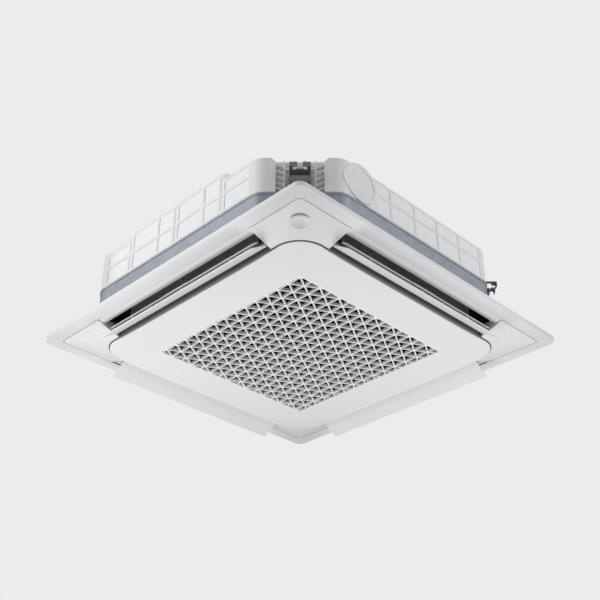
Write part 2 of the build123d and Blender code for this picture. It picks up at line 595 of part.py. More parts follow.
def corner_cover(full, hollow, back_right, front_left):
    """Sloped corner cover for the back right corner, then turned by the caller."""
    start = SLOT_HALF
    room = block(start, PANEL_HALF, start, PANEL_HALF, -COVER_DROP - 1, DECK_LOW)
    inner_room = block(start + COVER_WALL, PANEL_HALF, start + COVER_WALL, PANEL_HALF, -COVER_DROP - 1, DECK_LOW + 1)
    cover = (full & room) - (hollow & inner_room)
    notch = BOSS_RADIUS + 0.7
    cut_x = block(PIVOT_S - notch, PIVOT_S + notch, start - 1, start + COVER_WALL + 1, PIVOT_Z - notch, DECK_LOW + 1)
    cut_y = block(start - 1, start + COVER_WALL + 1, PIVOT_S - notch, PIVOT_S + notch, PIVOT_Z - notch, DECK_LOW + 1)
    cover = cover - [cut_x, cut_y]
    if front_left:
        surface, lean = cover_height(DIMPLE_PLACE)
        boss = rod(DIMPLE_RADIUS + DIMPLE_BORDER, -COVER_DROP, surface + DIMPLE_BOSS, DIMPLE_PLACE, DIMPLE_PLACE)
        ball = (DIMPLE_RADIUS ** 2 + DIMPLE_DEPTH ** 2) / (2 * DIMPLE_DEPTH)
        tilt = Rot(0, 0, 45) * Rot(0, -lean, 0)
        dish = Pos(DIMPLE_PLACE, DIMPLE_PLACE, surface) * tilt * Pos(0, 0, DIMPLE_DEPTH - ball) * Sphere(ball)
        cover = cover + (boss & full) - dish
    if back_right:
        cover = cover - [lens_shape(place, 0.05) for place in LENS_PLACES]
    return cover


def cover_height(place):
    """Height and slope in degrees of the cover's lower surface at (place, place), on the diagonal."""
    near = math.sqrt(2) * (COVER_IN - SUCTION_RADIUS - COVER_GAP) + SUCTION_RADIUS + COVER_GAP
    far = math.sqrt(2) * (SEAM_HALF - SEAM_RADIUS) + SEAM_RADIUS
    slope = COVER_DROP / (far - near)
    return -slope * (far - math.sqrt(2) * place), math.degrees(math.atan(slope))


def lens_shape(place, gap):
    """One indicator lens near the right edge of the back right cover, or its hole."""
    x, y = SEAM_HALF - LENS_INSET, SEAM_HALF + place
    low = -LENS_INSET * COVER_SLOPE - 2
    lens = Pos(x, y, low + 4) * Box(LENS_WIDTH + 2 * gap, LENS_LENGTH + 2 * gap, 8)
    return lens


def indicator_lenses(full):
    """Lenses flush with the cover's underside."""
    return [lens_shape(place, 0) & full for place in LENS_PLACES]


def display_board():
    """Small circuit board above the lenses, held under the deck."""
    wide, long, thick = DISPLAY_BOARD
    x1 = SEAM_HALF - COVER_WALL - 0.6
    y1 = SEAM_HALF - 14
    board = block(x1 - wide, x1, y1 - long, y1, DECK_LOW - 1.5 - thick, DECK_LOW - 1.5)
    return board + block(x1 - wide, x1 - wide + 4, y1 - long, y1, DECK_LOW - 1.5, DECK_LOW)


def panel_screws():
    """Four screws that hold the panel to the unit, hidden by the covers."""
    place = (CASE_DIAGONAL - 24) / math.sqrt(2)
    screws = []
    for quarter in range(4):
        head = rod(7, DECK_LOW - 4, DECK_LOW, place, place)
        screws.append(turned(head, quarter))
    return screws


# ---------------------------------------------------------------- suction panel
def corner_waste(low):
    """What is cut from a slab's four corners so that its lower face, at the given height, sweeps up there."""
    reach = math.sqrt(2) * (SUCTION_HALF - SUCTION_RADIUS) + SUCTION_RADIUS
    radius = ((reach - LIFT_START) ** 2 + CORNER_LIFT ** 2) / (2 * CORNER_LIFT)
    waste = block(LIFT_START, reach + 5, -SUCTION_HALF, SUCTION_HALF, low - 1, low + 2 * CORNER_LIFT)
    return all_corners(waste - rod_along_y(radius, LIFT_START, low + radius, -SUCTION_HALF - 1, SUCTION_HALF + 1))


def suction_body(inset):
    """Rounded square body whose flat face sweeps up at the corners, thinned by inset."""
    half, low = SUCTION_HALF - inset, SUCTION_FACE + inset
    body = slab(square(half, SUCTION_RADIUS - inset), low, SUCTION_TOP) - corner_waste(low)
    if inset:
        return body
    rim = [edge for edge in body.edges() if edge.center().Z < low + CORNER_LIFT + 1
           and max(abs(edge.center().X), abs(edge.center().Y)) > LIFT_START / math.sqrt(2) + CORNER_LIFT]
    return fillet(rim, SUCTION_EDGE_ROUND)


def suction_panel():
    """Moulded suction panel: shell, grille frame, filter rails, hinge cheeks and notches."""
    shell = suction_body(0) - suction_body(SUCTION_WALL)
    border = slab(square(GRILLE_HALF + 3, 4), GRILLE_LOW + 0.5, GRILLE_TOP)
    panel = shell + border
    rail_x = FILTER_HALF - 12
    for hand in (-1, 1):
        y = hand * (FILTER_HALF + FILTER_GAP + RAIL_WIDTH / 2)
        panel += block(-rail_x, rail_x, y - RAIL_WIDTH / 2, y + RAIL_WIDTH / 2, GRILLE_TOP - 2, FILTER_TOP + 0.3)
        y = hand * (FILTER_HALF - 1)
        lip = block(-RAIL_LENGTH / 2, RAIL_LENGTH / 2, y - RAIL_WIDTH / 2 + hand * 2, y + RAIL_WIDTH / 2 + hand * 2,
                    FILTER_TOP + 0.3, FILTER_TOP + 2.3)
        panel += lip
    panel -= slab(Rectangle(2 * GRILLE_HALF, 2 * GRILLE_HALF), GRILLE_LOW - 1, GRILLE_TOP + 1)
    arm = HINGE_ARM_WIDTH / 2 + HINGE_SIDE_GAP
    for place in HINGE_PLACES:
        panel -= block(SUCTION_HALF - SUCTION_WALL - 1, SUCTION_HALF + 1, place - arm, place + arm,
                       HINGE_AXIS - HINGE_NOTCH_DROP, SUCTION_TOP + 1)
        panel -= rod_along_y(HINGE_EYE_RADIUS + 0.5, HINGE_X, HINGE_AXIS, place - arm, place + arm)
        for hand in (-1, 1):
            near, far = sorted((place + hand * arm, place + hand * (arm + HINGE_CHEEK)))
            panel += rod_along_y(HINGE_EYE_RADIUS + 0.5, HINGE_X, HINGE_AXIS, near, far)
            panel -= rod_along_y(HINGE_PIN_RADIUS, HINGE_X, HINGE_AXIS, near - 1, far + 1)
    return panel


def hinge_pins():
    """Steel pins in the suction panel's cheeks."""
    half = HINGE_ARM_WIDTH / 2 + HINGE_SIDE_GAP + HINGE_CHEEK
    return [rod_along_y(HINGE_PIN_RADIUS, HINGE_X, HINGE_AXIS, place - half, place + half) for place in HINGE_PLACES]


def hinge_arms():
    """Arms that hang from the frame's deck and carry the suction panel's pins."""
    arms = []
    reach = HINGE_X - HINGE_ARM_LEAN
    for place in HINGE_PLACES:
        y0, y1 = place - HINGE_ARM_WIDTH / 2, place + HINGE_ARM_WIDTH / 2
        points = [(HINGE_X + 1.2, HINGE_AXIS + 2.2), (HINGE_X - 2.2, HINGE_AXIS - 1.2), (reach - 2, -6),
                  (reach - 2, DECK_LOW), (reach + 3, DECK_LOW), (reach + 3, -5)]
        arm = profile(points, y0, y1) + rod_along_y(HINGE_EYE_RADIUS, HINGE_X, HINGE_AXIS, y0, y1)
        arms.append(arm - rod_along_y(HINGE_PIN_RADIUS + PIN_CLEARANCE, HINGE_X, HINGE_AXIS, y0 - 1, y1 + 1))
    return arms


def suction_grille():
    """Triangular lattice: one plate with a rounded triangular hole in each cell."""
    height = LATTICE_PITCH * math.sqrt(3) / 2
    start_x = -GRILLE_HALF + LATTICE_START_X
    start_y = -GRILLE_HALF + LATTICE_START_Y
    inset = LATTICE_PITCH / math.sqrt(3) - LATTICE_RIB
    clear = GRILLE_HALF - GRILLE_BORDER
    window = Rectangle(2 * clear, 2 * clear)
    holes = []
    rows = int(2 * GRILLE_HALF / height) + 2
    columns = int(2 * GRILLE_HALF / LATTICE_PITCH) + 3
    for row in range(-1, rows):
        for column in range(-1, columns):
            for up in (0, 1):
                shift = LATTICE_PITCH * (column + (0.5 if (row + up) % 2 else 0.0))
                x = start_x + height * (row + (1 / 3 if up else 2 / 3))
                y = start_y + shift
                reach = -inset if up else inset
                corners = [(x + reach * math.cos(a), y + reach * math.sin(a))
                           for a in (math.pi, math.pi / 3, -math.pi / 3)]
                xs, ys = [c[0] for c in corners], [c[1] for c in corners]
                if max(xs) < -clear + 1 or min(xs) > clear - 1 or max(ys) < -clear + 1 or min(ys) > clear - 1:
                    continue
                cell = Polygon(*corners, align=None)
                if max(map(abs, xs + ys)) > clear:
                    cell = cell & window
                holes += [face for face in cell.faces() if face.area > 6]
    plate = Rectangle(2 * GRILLE_HALF, 2 * GRILLE_HALF).face()
    holed = Face(plate.outer_wire(), [face.outer_wire() for face in holes])
    return extrude(Pos(0, 0, GRILLE_LOW) * holed, GRILLE_DEPTH)


def filter_frame():
    """Filter frame with cross bars."""
    outer = slab(square(FILTER_HALF, 6), FILTER_LOW, FILTER_TOP)
    frame = outer - slab(square(FILTER_HALF - FILTER_BAR, 3), FILTER_LOW - 1, FILTER_TOP + 1)
    inner = FILTER_HALF - FILTER_BAR + 1
    step = inner / 2
    for place in (-step, 0.0, step):
        frame += block(place - 1.5, place + 1.5, -inner, inner, FILTER_LOW + FILTER_MESH, FILTER_TOP)
        frame += block(-inner, inner, place - 1.5, place + 1.5, FILTER_LOW + FILTER_MESH, FILTER_TOP)
    return frame


def filter_mesh():
    """The filter's fine net, as one thin sheet inside the frame."""
    return slab(square(FILTER_HALF - FILTER_BAR, 3), FILTER_LOW, FILTER_LOW + FILTER_MESH)


# ---------------------------------------------------------------- vanes
def open_vane(shape):
    """Turns a piece modelled on the closed vane to its rest opening."""
    return Pos(PIVOT_S, 0, PIVOT_Z) * Rot(0, VANE_REST, 0) * Pos(-PIVOT_S, 0, -PIVOT_Z) * shape


def along_vane(distance, rise):
    """Point beside the pivot: distance out along the closed vane, rise above its underside."""
    angle = math.atan(COVER_SLOPE)
    base_z = PIVOT_Z - PIVOT_RISE
    return (PIVOT_S + distance * math.cos(angle) - rise * math.sin(angle),
            base_z + distance * math.sin(angle) + rise * math.cos(angle))


def air_vane():
    """Curved vane with hinge knuckles and pins, right side, at rest."""
    tip = (SEAM_HALF - VANE_TIP_GAP - PIVOT_S) / math.cos(math.atan(COVER_SLOPE))
    outer_low, outer_high = along_vane(tip, 0), along_vane(tip - 1, VANE_THICKNESS)
    bend_low, bend_high = along_vane(VANE_BEND, 0), along_vane(VANE_BEND, VANE_THICKNESS)
    tail_x = DUCT_IN + VANE_TAIL_INSET
    tail_z = bend_low[1] - 3.4
    mid_low = ((bend_low[0] + tail_x) / 2, (bend_low[1] + tail_z) / 2 - 0.9)
    mid_high = (mid_low[0] + 0.3, mid_low[1] + VANE_THICKNESS)
    curve = [Plane.XZ * shape for shape in (
        Line(bend_low, outer_low), Line(outer_low, outer_high), Line(outer_high, bend_high),
        ThreePointArc(bend_high, mid_high, (tail_x + 0.6, tail_z + VANE_THICKNESS)),
        Line((tail_x + 0.6, tail_z + VANE_THICKNESS), (tail_x, tail_z + 0.4)),
        ThreePointArc((tail_x, tail_z + 0.4), mid_low, bend_low),
    )]
    vane = extrude(make_face(curve), VANE_HALF, both=True)
    stay_gap = STAY_THICKNESS / 2 + 0.5
    vane -= rod_along_y(BOSS_RADIUS + 1.3, PIVOT_S, PIVOT_Z, -stay_gap, stay_gap)
    for hand in (-1, 1):
        end = sorted((hand * (VANE_HALF - KNUCKLE), hand * VANE_HALF))
        centre = sorted((hand * stay_gap, hand * (stay_gap + KNUCKLE)))
        for y0, y1 in (end, centre):
            vane += rod_along_y(BOSS_RADIUS, PIVOT_S, PIVOT_Z, y0, y1)
        pin = sorted((hand * (VANE_HALF - 1), hand * (SLOT_HALF + BEARING_GAP + BEARING_LENGTH)))
        vane += rod_along_y(PIN_RADIUS, PIVOT_S, PIVOT_Z, *pin)
    vane += rod_along_y(PIN_RADIUS, PIVOT_S, PIVOT_Z, -stay_gap, stay_gap)
    return open_vane(vane)


def upper_blade():
    """Slim ribbed blade on posts above a vane, right side, at rest."""
    half = VANE_HALF - BLADE_INSET
    angle = math.degrees(math.atan(COVER_SLOPE))
    strip = RectangleRounded(BLADE_WIDTH, 2 * half, BLADE_WIDTH / 2 - 1)
    blade = extrude(strip, BLADE_THICKNESS)
    count = int(2 * half / BLADE_RIB_PITCH) - 1
    for index in range(count):
        y = (index - (count - 1) / 2) * BLADE_RIB_PITCH
        blade += Pos(0, y, BLADE_THICKNESS + 0.3) * Box(BLADE_WIDTH - 5, 1.6, 0.8)
    wider, long = BLADE_BOSS
    blade += extrude(RectangleRounded(BLADE_WIDTH + 2 * wider, long, wider), BLADE_THICKNESS)
    blade -= Pos(-wider, 0, 0) * Box(BLADE_WIDTH - 6 + 2 * wider, STAY_THICKNESS + 1.4, 20)
    for place in POST_PLACES:
        shift = STAY_THICKNESS + 4 if place == 0.0 else 0.0
        depth = BLADE_RISE - VANE_THICKNESS
        blade += Pos(2, place + shift, -depth / 2) * Box(7, POST_THICKNESS, depth)
    x, z = along_vane(BLADE_OFFSET, BLADE_RISE)
    return open_vane(Pos(x, 0, z) * Rot(0, -angle, 0) * blade)


def vane_bearings():
    """Bearing tabs in the corners and a stay across the middle of each outlet."""
    start = SLOT_HALF + BEARING_GAP
    tab = block(PIVOT_S - BOSS_RADIUS, PIVOT_S + BOSS_RADIUS, start, start + BEARING_LENGTH, PIVOT_Z, DECK_LOW)
    tab += rod_along_y(BOSS_RADIUS, PIVOT_S, PIVOT_Z, start, start + BEARING_LENGTH)
    tab -= rod_along_y(PIN_RADIUS + PIN_CLEARANCE, PIVOT_S, PIVOT_Z, start - 1, start + BEARING_LENGTH + 1)
    half = STAY_THICKNESS / 2
    bar_low = DECK_TOP - STAY_BAR
    stay = block(PIVOT_S - STAY_WIDTH / 2, PIVOT_S + STAY_WIDTH / 2, -half, half, PIVOT_Z, DECK_TOP)
    stay += rod_along_y(STAY_WIDTH / 2, PIVOT_S, PIVOT_Z, -half, half)
    stay += block(DUCT_IN, DUCT_OUT, -half, half, bar_low, DECK_TOP)
    stay -= rod_along_y(PIN_RADIUS + PIN_CLEARANCE, PIVOT_S, PIVOT_Z, -half - 1, half + 1)
    return all_sides(tab) + all_sides(mirror(tab, Plane.XZ)) + all_sides(stay)


def vane_motors():
    """Small geared motors beyond one end of each vane, with their shafts' offset."""
    start = SLOT_HALF + BEARING_GAP + BEARING_LENGTH + 0.4
    can = rod_along_y(VANE_MOTOR_RADIUS, PIVOT_S, PIVOT_Z + VANE_MOTOR_OFFSET, start, start + VANE_MOTOR_LENGTH)
    ear = block(PIVOT_S - 4, PIVOT_S + 4, start, start + 2, PIVOT_Z + VANE_MOTOR_OFFSET, DECK_LOW)
    return all_sides(can + ear)


# ---------------------------------------------------------------- latches
def latch_places():
    """Centres of the push latches along the left side."""
    return [(-SUCTION_HALF + LATCH_INSET, y) for y in LATCH_PLACES]


def latch_housings():
    """Latch housings under the frame's deck, each with a square bore."""
    low = STRIKER_TOP + LATCH_SEAT_GAP + 6
    bore = LATCH_PLUNGER / 2 + 0.2
    shapes = []
    for x, y in latch_places():
        half = LATCH_BODY / 2
        house = block(x - half, x + half, y - half, y + half, low, DECK_LOW)
        shapes.append(house - block(x - bore, x + bore, y - bore, y + bore, low - 1, DECK_LOW - 1.5))
    return shapes


def latch_plunger(index):
    """Plunger that is pushed up by the striker."""
    x, y = latch_places()[index]
    half = LATCH_PLUNGER / 2
    low = STRIKER_TOP + LATCH_SEAT_GAP
    return block(x - half, x + half, y - half, y + half, low, DECK_LOW - 2 - LATCH_TRAVEL)


def latch_strikers():
    """Strikers that stand on the inside of the suction panel, under the plungers."""
    shapes = []
    for x, y in latch_places():
        tower = block(x - 6, x + 6, y - 9, y + 9, SUCTION_FACE, STRIKER_TOP)
        shapes.append(tower & suction_body(SUCTION_WALL))
    return shapes


# ---------------------------------------------------------------- condensate pan and coil
def drain_pan():
    """Moulded drain pan with four outlets, a trough for the coil and a round middle."""
    pan = slab(case_outline(BAND_STEEL + INSULATION + LINER), CASE_BOTTOM, PAN_TOP)
    outlets = all_sides(block(DUCT_IN, CASE_HALF, -SLOT_HALF, SLOT_HALF, CASE_BOTTOM - 1, PAN_TOP + 1))
    outlets += all_sides(inner_liner(1))
    middle = slab(square(INLET_HALF, 10), CASE_BOTTOM - 1, PAN_TOP + 1)
    trough = square(COIL_HALF + TROUGH_MARGIN, COIL_RADIUS) - square(COIL_INNER - TROUGH_MARGIN, COIL_RADIUS - 20)
    pan = pan - outlets - [middle, slab(trough, TROUGH_FLOOR, PAN_TOP + 1)]
    sump = block(COIL_GAP_FROM, COIL_HALF, COIL_GAP_FROM, COIL_HALF, TROUGH_FLOOR, PAN_TOP + 1)
    return pan - (sump - slab(square(COIL_INNER - TROUGH_MARGIN, 1), CASE_BOTTOM, PAN_TOP + 2))


def coil_ring():
    """Plan of the coil, open at the back right corner."""
    ring = square(COIL_HALF, COIL_RADIUS) - square(COIL_INNER, COIL_RADIUS - COIL_THICKNESS)
    gap = Pos((COIL_GAP_FROM + CASE_HALF) / 2, (COIL_GAP_FROM + CASE_HALF) / 2)
    return ring - gap * Rectangle(CASE_HALF - COIL_GAP_FROM, CASE_HALF - COIL_GAP_FROM)


def heat_exchanger():
    """Finned coil block standing in the trough."""
    return slab(coil_ring(), TROUGH_FLOOR, TOP_PLATE_LOW)


def coil_end_plates():
    """Tube plates on the two coil ends."""
    one = block(COIL_INNER, COIL_HALF, COIL_GAP_FROM, COIL_GAP_FROM + END_PLATE, TROUGH_FLOOR, TOP_PLATE_LOW)
    return [one, block(COIL_GAP_FROM, COIL_GAP_FROM + END_PLATE, COIL_INNER, COIL_HALF, TROUGH_FLOOR, TOP_PLATE_LOW)]


def return_bends():
    """Copper half loops on both end plates."""
    bends = []
    start = COIL_GAP_FROM + END_PLATE
    for row in (COIL_INNER + COIL_THICKNESS * 0.27, COIL_INNER + COIL_THICKNESS * 0.73):
        for index in range(BEND_COUNT):
            z = TROUGH_FLOOR + 2 * BEND_RADIUS + BEND_PITCH * index
            ring = Pos(row, start, z) * Rot(0, 90, 0) * Torus(BEND_RADIUS, BEND_TUBE)
            half = ring & block(row - 10, row + 10, start, start + 30, z - 30, z + 30)
            bends.append(half)
            bends.append(mirror(half, Plane(origin=(0, 0, 0), z_dir=(1, -1, 0))))
    return bends


# ---------------------------------------------------------------- fan
def bell_mouth():
    """Round inlet ring on a square plate."""
    plate = slab(square(INLET_HALF, 10), BELL_LOW, BELL_LOW + BELL_WALL) - rod(BELL_MOUTH_RADIUS, BELL_LOW - 1,
                                                                              BELL_LOW + BELL_WALL + 1)
    throat, mouth = BELL_THROAT, BELL_MOUTH_RADIUS
    rise, span = BELL_HIGH - BELL_LOW, mouth - throat
    radius = (span ** 2 + rise ** 2) / (2 * rise)
    half_turn = math.asin(span / radius) / 2
    middle = (mouth - radius * math.sin(half_turn), BELL_LOW + radius * (1 - math.cos(half_turn)))
    outer = [Plane.XZ * shape for shape in (
        ThreePointArc((mouth, BELL_LOW), middle, (throat, BELL_HIGH)),
        Line((throat, BELL_HIGH), (throat + BELL_WALL, BELL_HIGH)),
        ThreePointArc((throat + BELL_WALL, BELL_HIGH), (middle[0] + BELL_WALL, middle[1] + BELL_WALL),
                      (mouth + 1, BELL_LOW + BELL_WALL)),
        Line((mouth + 1, BELL_LOW + BELL_WALL), (mouth, BELL_LOW)),
    )]
    return plate + revolve(make_face(outer), Axis.Z)


def fan_blade():
    """One backward curved blade between shroud and back plate."""
    start = (FAN_BLADE_INNER, 0.0)
    end = Vector(FAN_RADIUS - 4, 0).rotate(Axis.Z, -FAN_BLADE_SWEEP)
    middle = Vector((FAN_BLADE_INNER + FAN_RADIUS) / 2, 0).rotate(Axis.Z, -FAN_BLADE_SWEEP * 0.38)
    line = ThreePointArc(start, (middle.X, middle.Y), (end.X, end.Y))
    strip = offset(line, FAN_BLADE_THICKNESS / 2, side=Side.BOTH)
    return slab(make_face(strip.edges()), FAN_LOW + FAN_SKIN / 2, FAN_TOP - FAN_SKIN / 2)


def fan_wheel():
    """Turbo fan wheel: back plate with a dome round the motor, blades and an inlet shroud."""
    dome_low = HUB_FLOOR
    points = [(SHAFT_RADIUS, HUB_LOW), (HUB_RADIUS, HUB_LOW), (HUB_RADIUS, dome_low), (HUB_TOP_RADIUS, dome_low),
              (FAN_DOME_RADIUS, FAN_TOP - FAN_SKIN), (FAN_RADIUS, FAN_TOP - FAN_SKIN), (FAN_RADIUS, FAN_TOP),
              (FAN_DOME_RADIUS - 2, FAN_TOP), (HUB_TOP_RADIUS - 2, dome_low + FAN_SKIN), (SHAFT_RADIUS, dome_low + FAN_SKIN)]
    wheel = revolve(Plane.XZ * Polygon(*points, align=None), Axis.Z)
    eye = FAN_EYE_RADIUS
    shroud = [(FAN_RADIUS, FAN_LOW), (FAN_RADIUS, FAN_LOW + FAN_SKIN), (eye + 12, FAN_LOW + FAN_SKIN),
              (eye, FAN_LOW - 9), (eye, FAN_LOW - 12), (eye + FAN_SKIN, FAN_LOW - 12), (eye + 14, FAN_LOW)]
    wheel += revolve(Plane.XZ * Polygon(*shroud, align=None), Axis.Z)
    blade = fan_blade()
    return wheel + [Rot(0, 0, 360 / FAN_BLADES * index) * blade for index in range(FAN_BLADES)]


def motor_shaft():
    """Shaft that reaches from the hub nut into the motor."""
    return rod(SHAFT_RADIUS, SHAFT_LOW, MOTOR_LOW + 20)


def hub_nut():
    """Nut under the fan hub."""
    nut = slab(RegularPolygon(NUT_ACROSS / 2, 6, major_radius=False), HUB_LOW - NUT_HEIGHT, HUB_LOW)
    return nut - rod(SHAFT_RADIUS, HUB_LOW - NUT_HEIGHT - 1, HUB_LOW + 1)


def fan_motor():
    """Motor housing with a mounting flange and a bore for the shaft."""
    body = rod(MOTOR_RADIUS, MOTOR_LOW + 8, MOTOR_TOP)
    body = fillet(body.edges().group_by(Axis.Z)[0], 6)
    body += rod(22, MOTOR_LOW, MOTOR_LOW + 9)
    for angle in range(0, 360, 90):
        place = Rot(0, 0, 45 + angle) * Pos(BUSH_PLACE, 0, 0)
        body += place * rod(BUSH_RADIUS + 2, MOTOR_TOP - 6, MOTOR_TOP)
    return body - rod(SHAFT_RADIUS + SHAFT_CLEARANCE, MOTOR_LOW - 1, MOTOR_LOW + 21)


def motor_bushes():
    """Rubber bushes between motor and top plate."""
    return [Rot(0, 0, 45 + angle) * rod(BUSH_RADIUS, MOTOR_TOP, TOP_PLATE_LOW, BUSH_PLACE, 0)
            for angle in range(0, 360, 90)]


# ---------------------------------------------------------------- pump, float and pipes
def drain_pump():
    """Pump housing with a hollow for the rotor and an outlet spout to the casing wall."""
    low, top = TROUGH_FLOOR + 6, TROUGH_FLOOR + 6 + PUMP_HEIGHT
    body = rod(PUMP_RADIUS, low, top, PUMP_X, PUMP_Y)
    for angle in (30, 150, 270):
        foot = Vector(PUMP_RADIUS - 4, 0).rotate(Axis.Z, angle)
        body += rod(3, TROUGH_FLOOR, low + 1, PUMP_X + foot.X, PUMP_Y + foot.Y)
    body += rod(7, top - 2, OUTLET_HEIGHT + 7, PUMP_X, PUMP_Y)
    body += rod_along_y(7, PUMP_X, OUTLET_HEIGHT, PUMP_Y, CASE_HALF - CASING_WALL)
    hollow = rod(PUMP_RADIUS - PUMP_WALL, low + PUMP_WALL, low + 26, PUMP_X, PUMP_Y)
    return body - [hollow, rod(9, low - 1, low + PUMP_WALL + 1, PUMP_X, PUMP_Y),
                   rod(ROTOR_SHAFT + PIN_CLEARANCE, low + 20, low + 40, PUMP_X, PUMP_Y)]


def pump_rotor():
    """Four-bladed pump rotor on its shaft."""
    low = TROUGH_FLOOR + 6 + PUMP_WALL + 2
    rotor = rod(5, low, low + 16, PUMP_X, PUMP_Y) + rod(ROTOR_SHAFT, low + 15, low + 30, PUMP_X, PUMP_Y)
    for angle in (0, 90):
        rotor += Pos(PUMP_X, PUMP_Y, low + 7) * Rot(0, 0, angle) * Box(2 * ROTOR_RADIUS, 1.6, 14)
    return rotor


def drain_outlet():
    """Drain socket on the back side."""
    outer = rod_along_y(OUTLET_RADIUS, PUMP_X, OUTLET_HEIGHT, CASE_HALF - CASING_WALL, CASE_HALF + OUTLET_REACH)
    collar = rod_along_y(OUTLET_RADIUS + 4, PUMP_X, OUTLET_HEIGHT, CASE_HALF, CASE_HALF + 3)
    bore = rod_along_y(OUTLET_RADIUS - OUTLET_WALL, PUMP_X, OUTLET_HEIGHT, CASE_HALF - CASING_WALL + 3,
                       CASE_HALF + OUTLET_REACH + 1)
    return outer + collar - bore


def float_switch():
    """Float switch stem with a foot and a cap that stop the float."""
    cap_low = TROUGH_FLOOR + FLOAT_FOOT + FLOAT_HEIGHT + FLOAT_TRAVEL + 2 * FLOAT_END_GAP
    stem = rod(FLOAT_STEM_RADIUS, TROUGH_FLOOR, cap_low + 1, FLOAT_X, FLOAT_Y)
    foot = rod(FLOAT_CAP_RADIUS, TROUGH_FLOOR, TROUGH_FLOOR + FLOAT_FOOT, FLOAT_X, FLOAT_Y)
    return stem + foot + rod(FLOAT_CAP_RADIUS, cap_low, cap_low + FLOAT_FOOT, FLOAT_X, FLOAT_Y)


def float_ring():
    """Float that slides on the stem."""
    low = TROUGH_FLOOR + FLOAT_FOOT + FLOAT_END_GAP
    ring = rod(FLOAT_RADIUS, low, low + FLOAT_HEIGHT, FLOAT_X, FLOAT_Y)
    return ring - rod(FLOAT_STEM_RADIUS + FLOAT_CLEARANCE, low - 1, low + FLOAT_HEIGHT + 1, FLOAT_X, FLOAT_Y)


def pipe(radius, y, height, row, bend):
    """Refrigerant pipe from the coil's end plate, round one bend and out through the casing."""
    x, start = COIL_INNER + row, COIL_GAP_FROM + END_PLATE
    path = FilletPolyline((x, start, height), (x, y, height), (CASE_HALF + PIPE_REACH, y, height), radius=bend)
    section = Plane(origin=(x, start, height), z_dir=(0, 1, 0)) * Circle(radius)
    return sweep(section, path=path)


def gas_pipe():
    """The larger pipe."""
    return pipe(GAS_RADIUS, GAS_Y, GAS_HEIGHT, GAS_ROW, GAS_BEND)


def liquid_pipe():
    """The smaller pipe."""
    return pipe(LIQUID_RADIUS, LIQUID_Y, LIQUID_HEIGHT, LIQUID_ROW, LIQUID_BEND)


def flare_nut(radius, y, height):
    """Hexagonal flare nut on a pipe's end."""
    across = 2 * radius + 9
    hexagon = RegularPolygon(across / 2, 6, major_radius=False)
    x0 = CASE_HALF + PIPE_REACH - FLARE_LENGTH
    nut = extrude(Plane(origin=(x0, y, height), z_dir=(1, 0, 0)) * hexagon, FLARE_LENGTH)
    return nut - rod_along_x(radius, y, height, x0 - 1, x0 + FLARE_LENGTH + 1)


def pipe_plate():
    """Steel plate round the two pipes."""
    wide, tall, thick = PIPE_PLATE
    y, x = (GAS_Y + LIQUID_Y) / 2, CASE_HALF - POCKET_DEPTH
    plate = block(x, x + thick, y - wide / 2, y + wide / 2, PIPE_PLATE_HEIGHT - tall / 2, PIPE_PLATE_HEIGHT + tall / 2)
    return plate - [rod_along_x(GAS_RADIUS, GAS_Y, GAS_HEIGHT, x - 1, x + thick + 1),
                    rod_along_x(LIQUID_RADIUS, LIQUID_Y, LIQUID_HEIGHT, x - 1, x + thick + 1)]


# ---------------------------------------------------------------- electrics
def box_limits():
    """Plan limits of the control box beside the front of the bell mouth."""
    y0 = -INLET_HALF + BOX_EDGE_GAP
    return -BOX_LENGTH / 2, BOX_LENGTH / 2, y0, y0 + BOX_WIDTH


def control_box():
    """Open steel box under the bell mouth's plate."""
    x0, x1, y0, y1 = box_limits()
    top = BELL_LOW
    box = block(x0, x1, y0, y1, top - BOX_HEIGHT, top)
    return box - block(x0 + BOX_STEEL, x1 - BOX_STEEL, y0 + BOX_STEEL, y1 - BOX_STEEL, top - BOX_HEIGHT - 1,
                       top - BOX_STEEL)


def control_box_cover():
    """Flat cover under the control box."""
    x0, x1, y0, y1 = box_limits()
    low = BELL_LOW - BOX_HEIGHT - BOX_STEEL
    return block(x0 - 1, x1 + 1, y0 - 1, y1 + 1, low, low + BOX_STEEL)


def circuit_board():
    """Circuit board with a few parts, screwed on spacers inside the box."""
    x0, x1, y0, y1 = box_limits()
    low = BELL_LOW - BOX_HEIGHT + 14
    board = block(x0 + 40, x1 - 40, y0 + 6, y1 - 6, low, low + BOARD_THICKNESS)
    top = BELL_LOW - BOX_STEEL
    for x in (x0 + 46, x1 - 46):
        for y in (y0 + 12, y1 - 12):
            board += rod(3, low, top, x, y)
    board += block(x0 + 65, x0 + 95, y0 + 14, y0 + 34, low - 8, low)
    board += block(x1 - 115, x1 - 81, y0 + 20, y0 + 44, low - 6, low)
    return board + rod(6, low - 10, low, x1 - 63, y0 + 26)


def terminal_blocks():
    """Terminal blocks against the box's roof."""
    x0, x1, y0, y1 = box_limits()
    top = BELL_LOW - BOX_STEEL
    long, wide, tall = TERMINAL
    return [block(x - wide / 2, x + wide / 2, (y0 + y1) / 2 - long / 2, (y0 + y1) / 2 + long / 2, top - tall, top)
            for x in (x0 + 20, x1 - 20)]


def air_sensor():
    """Air temperature sensor clipped beside the control box."""
    x0, x1, y0, y1 = box_limits()
    long, wide, tall = SENSOR
    return block(x1, x1 + wide, y0 + 20, y0 + 20 + long, BELL_LOW - tall, BELL_LOW)


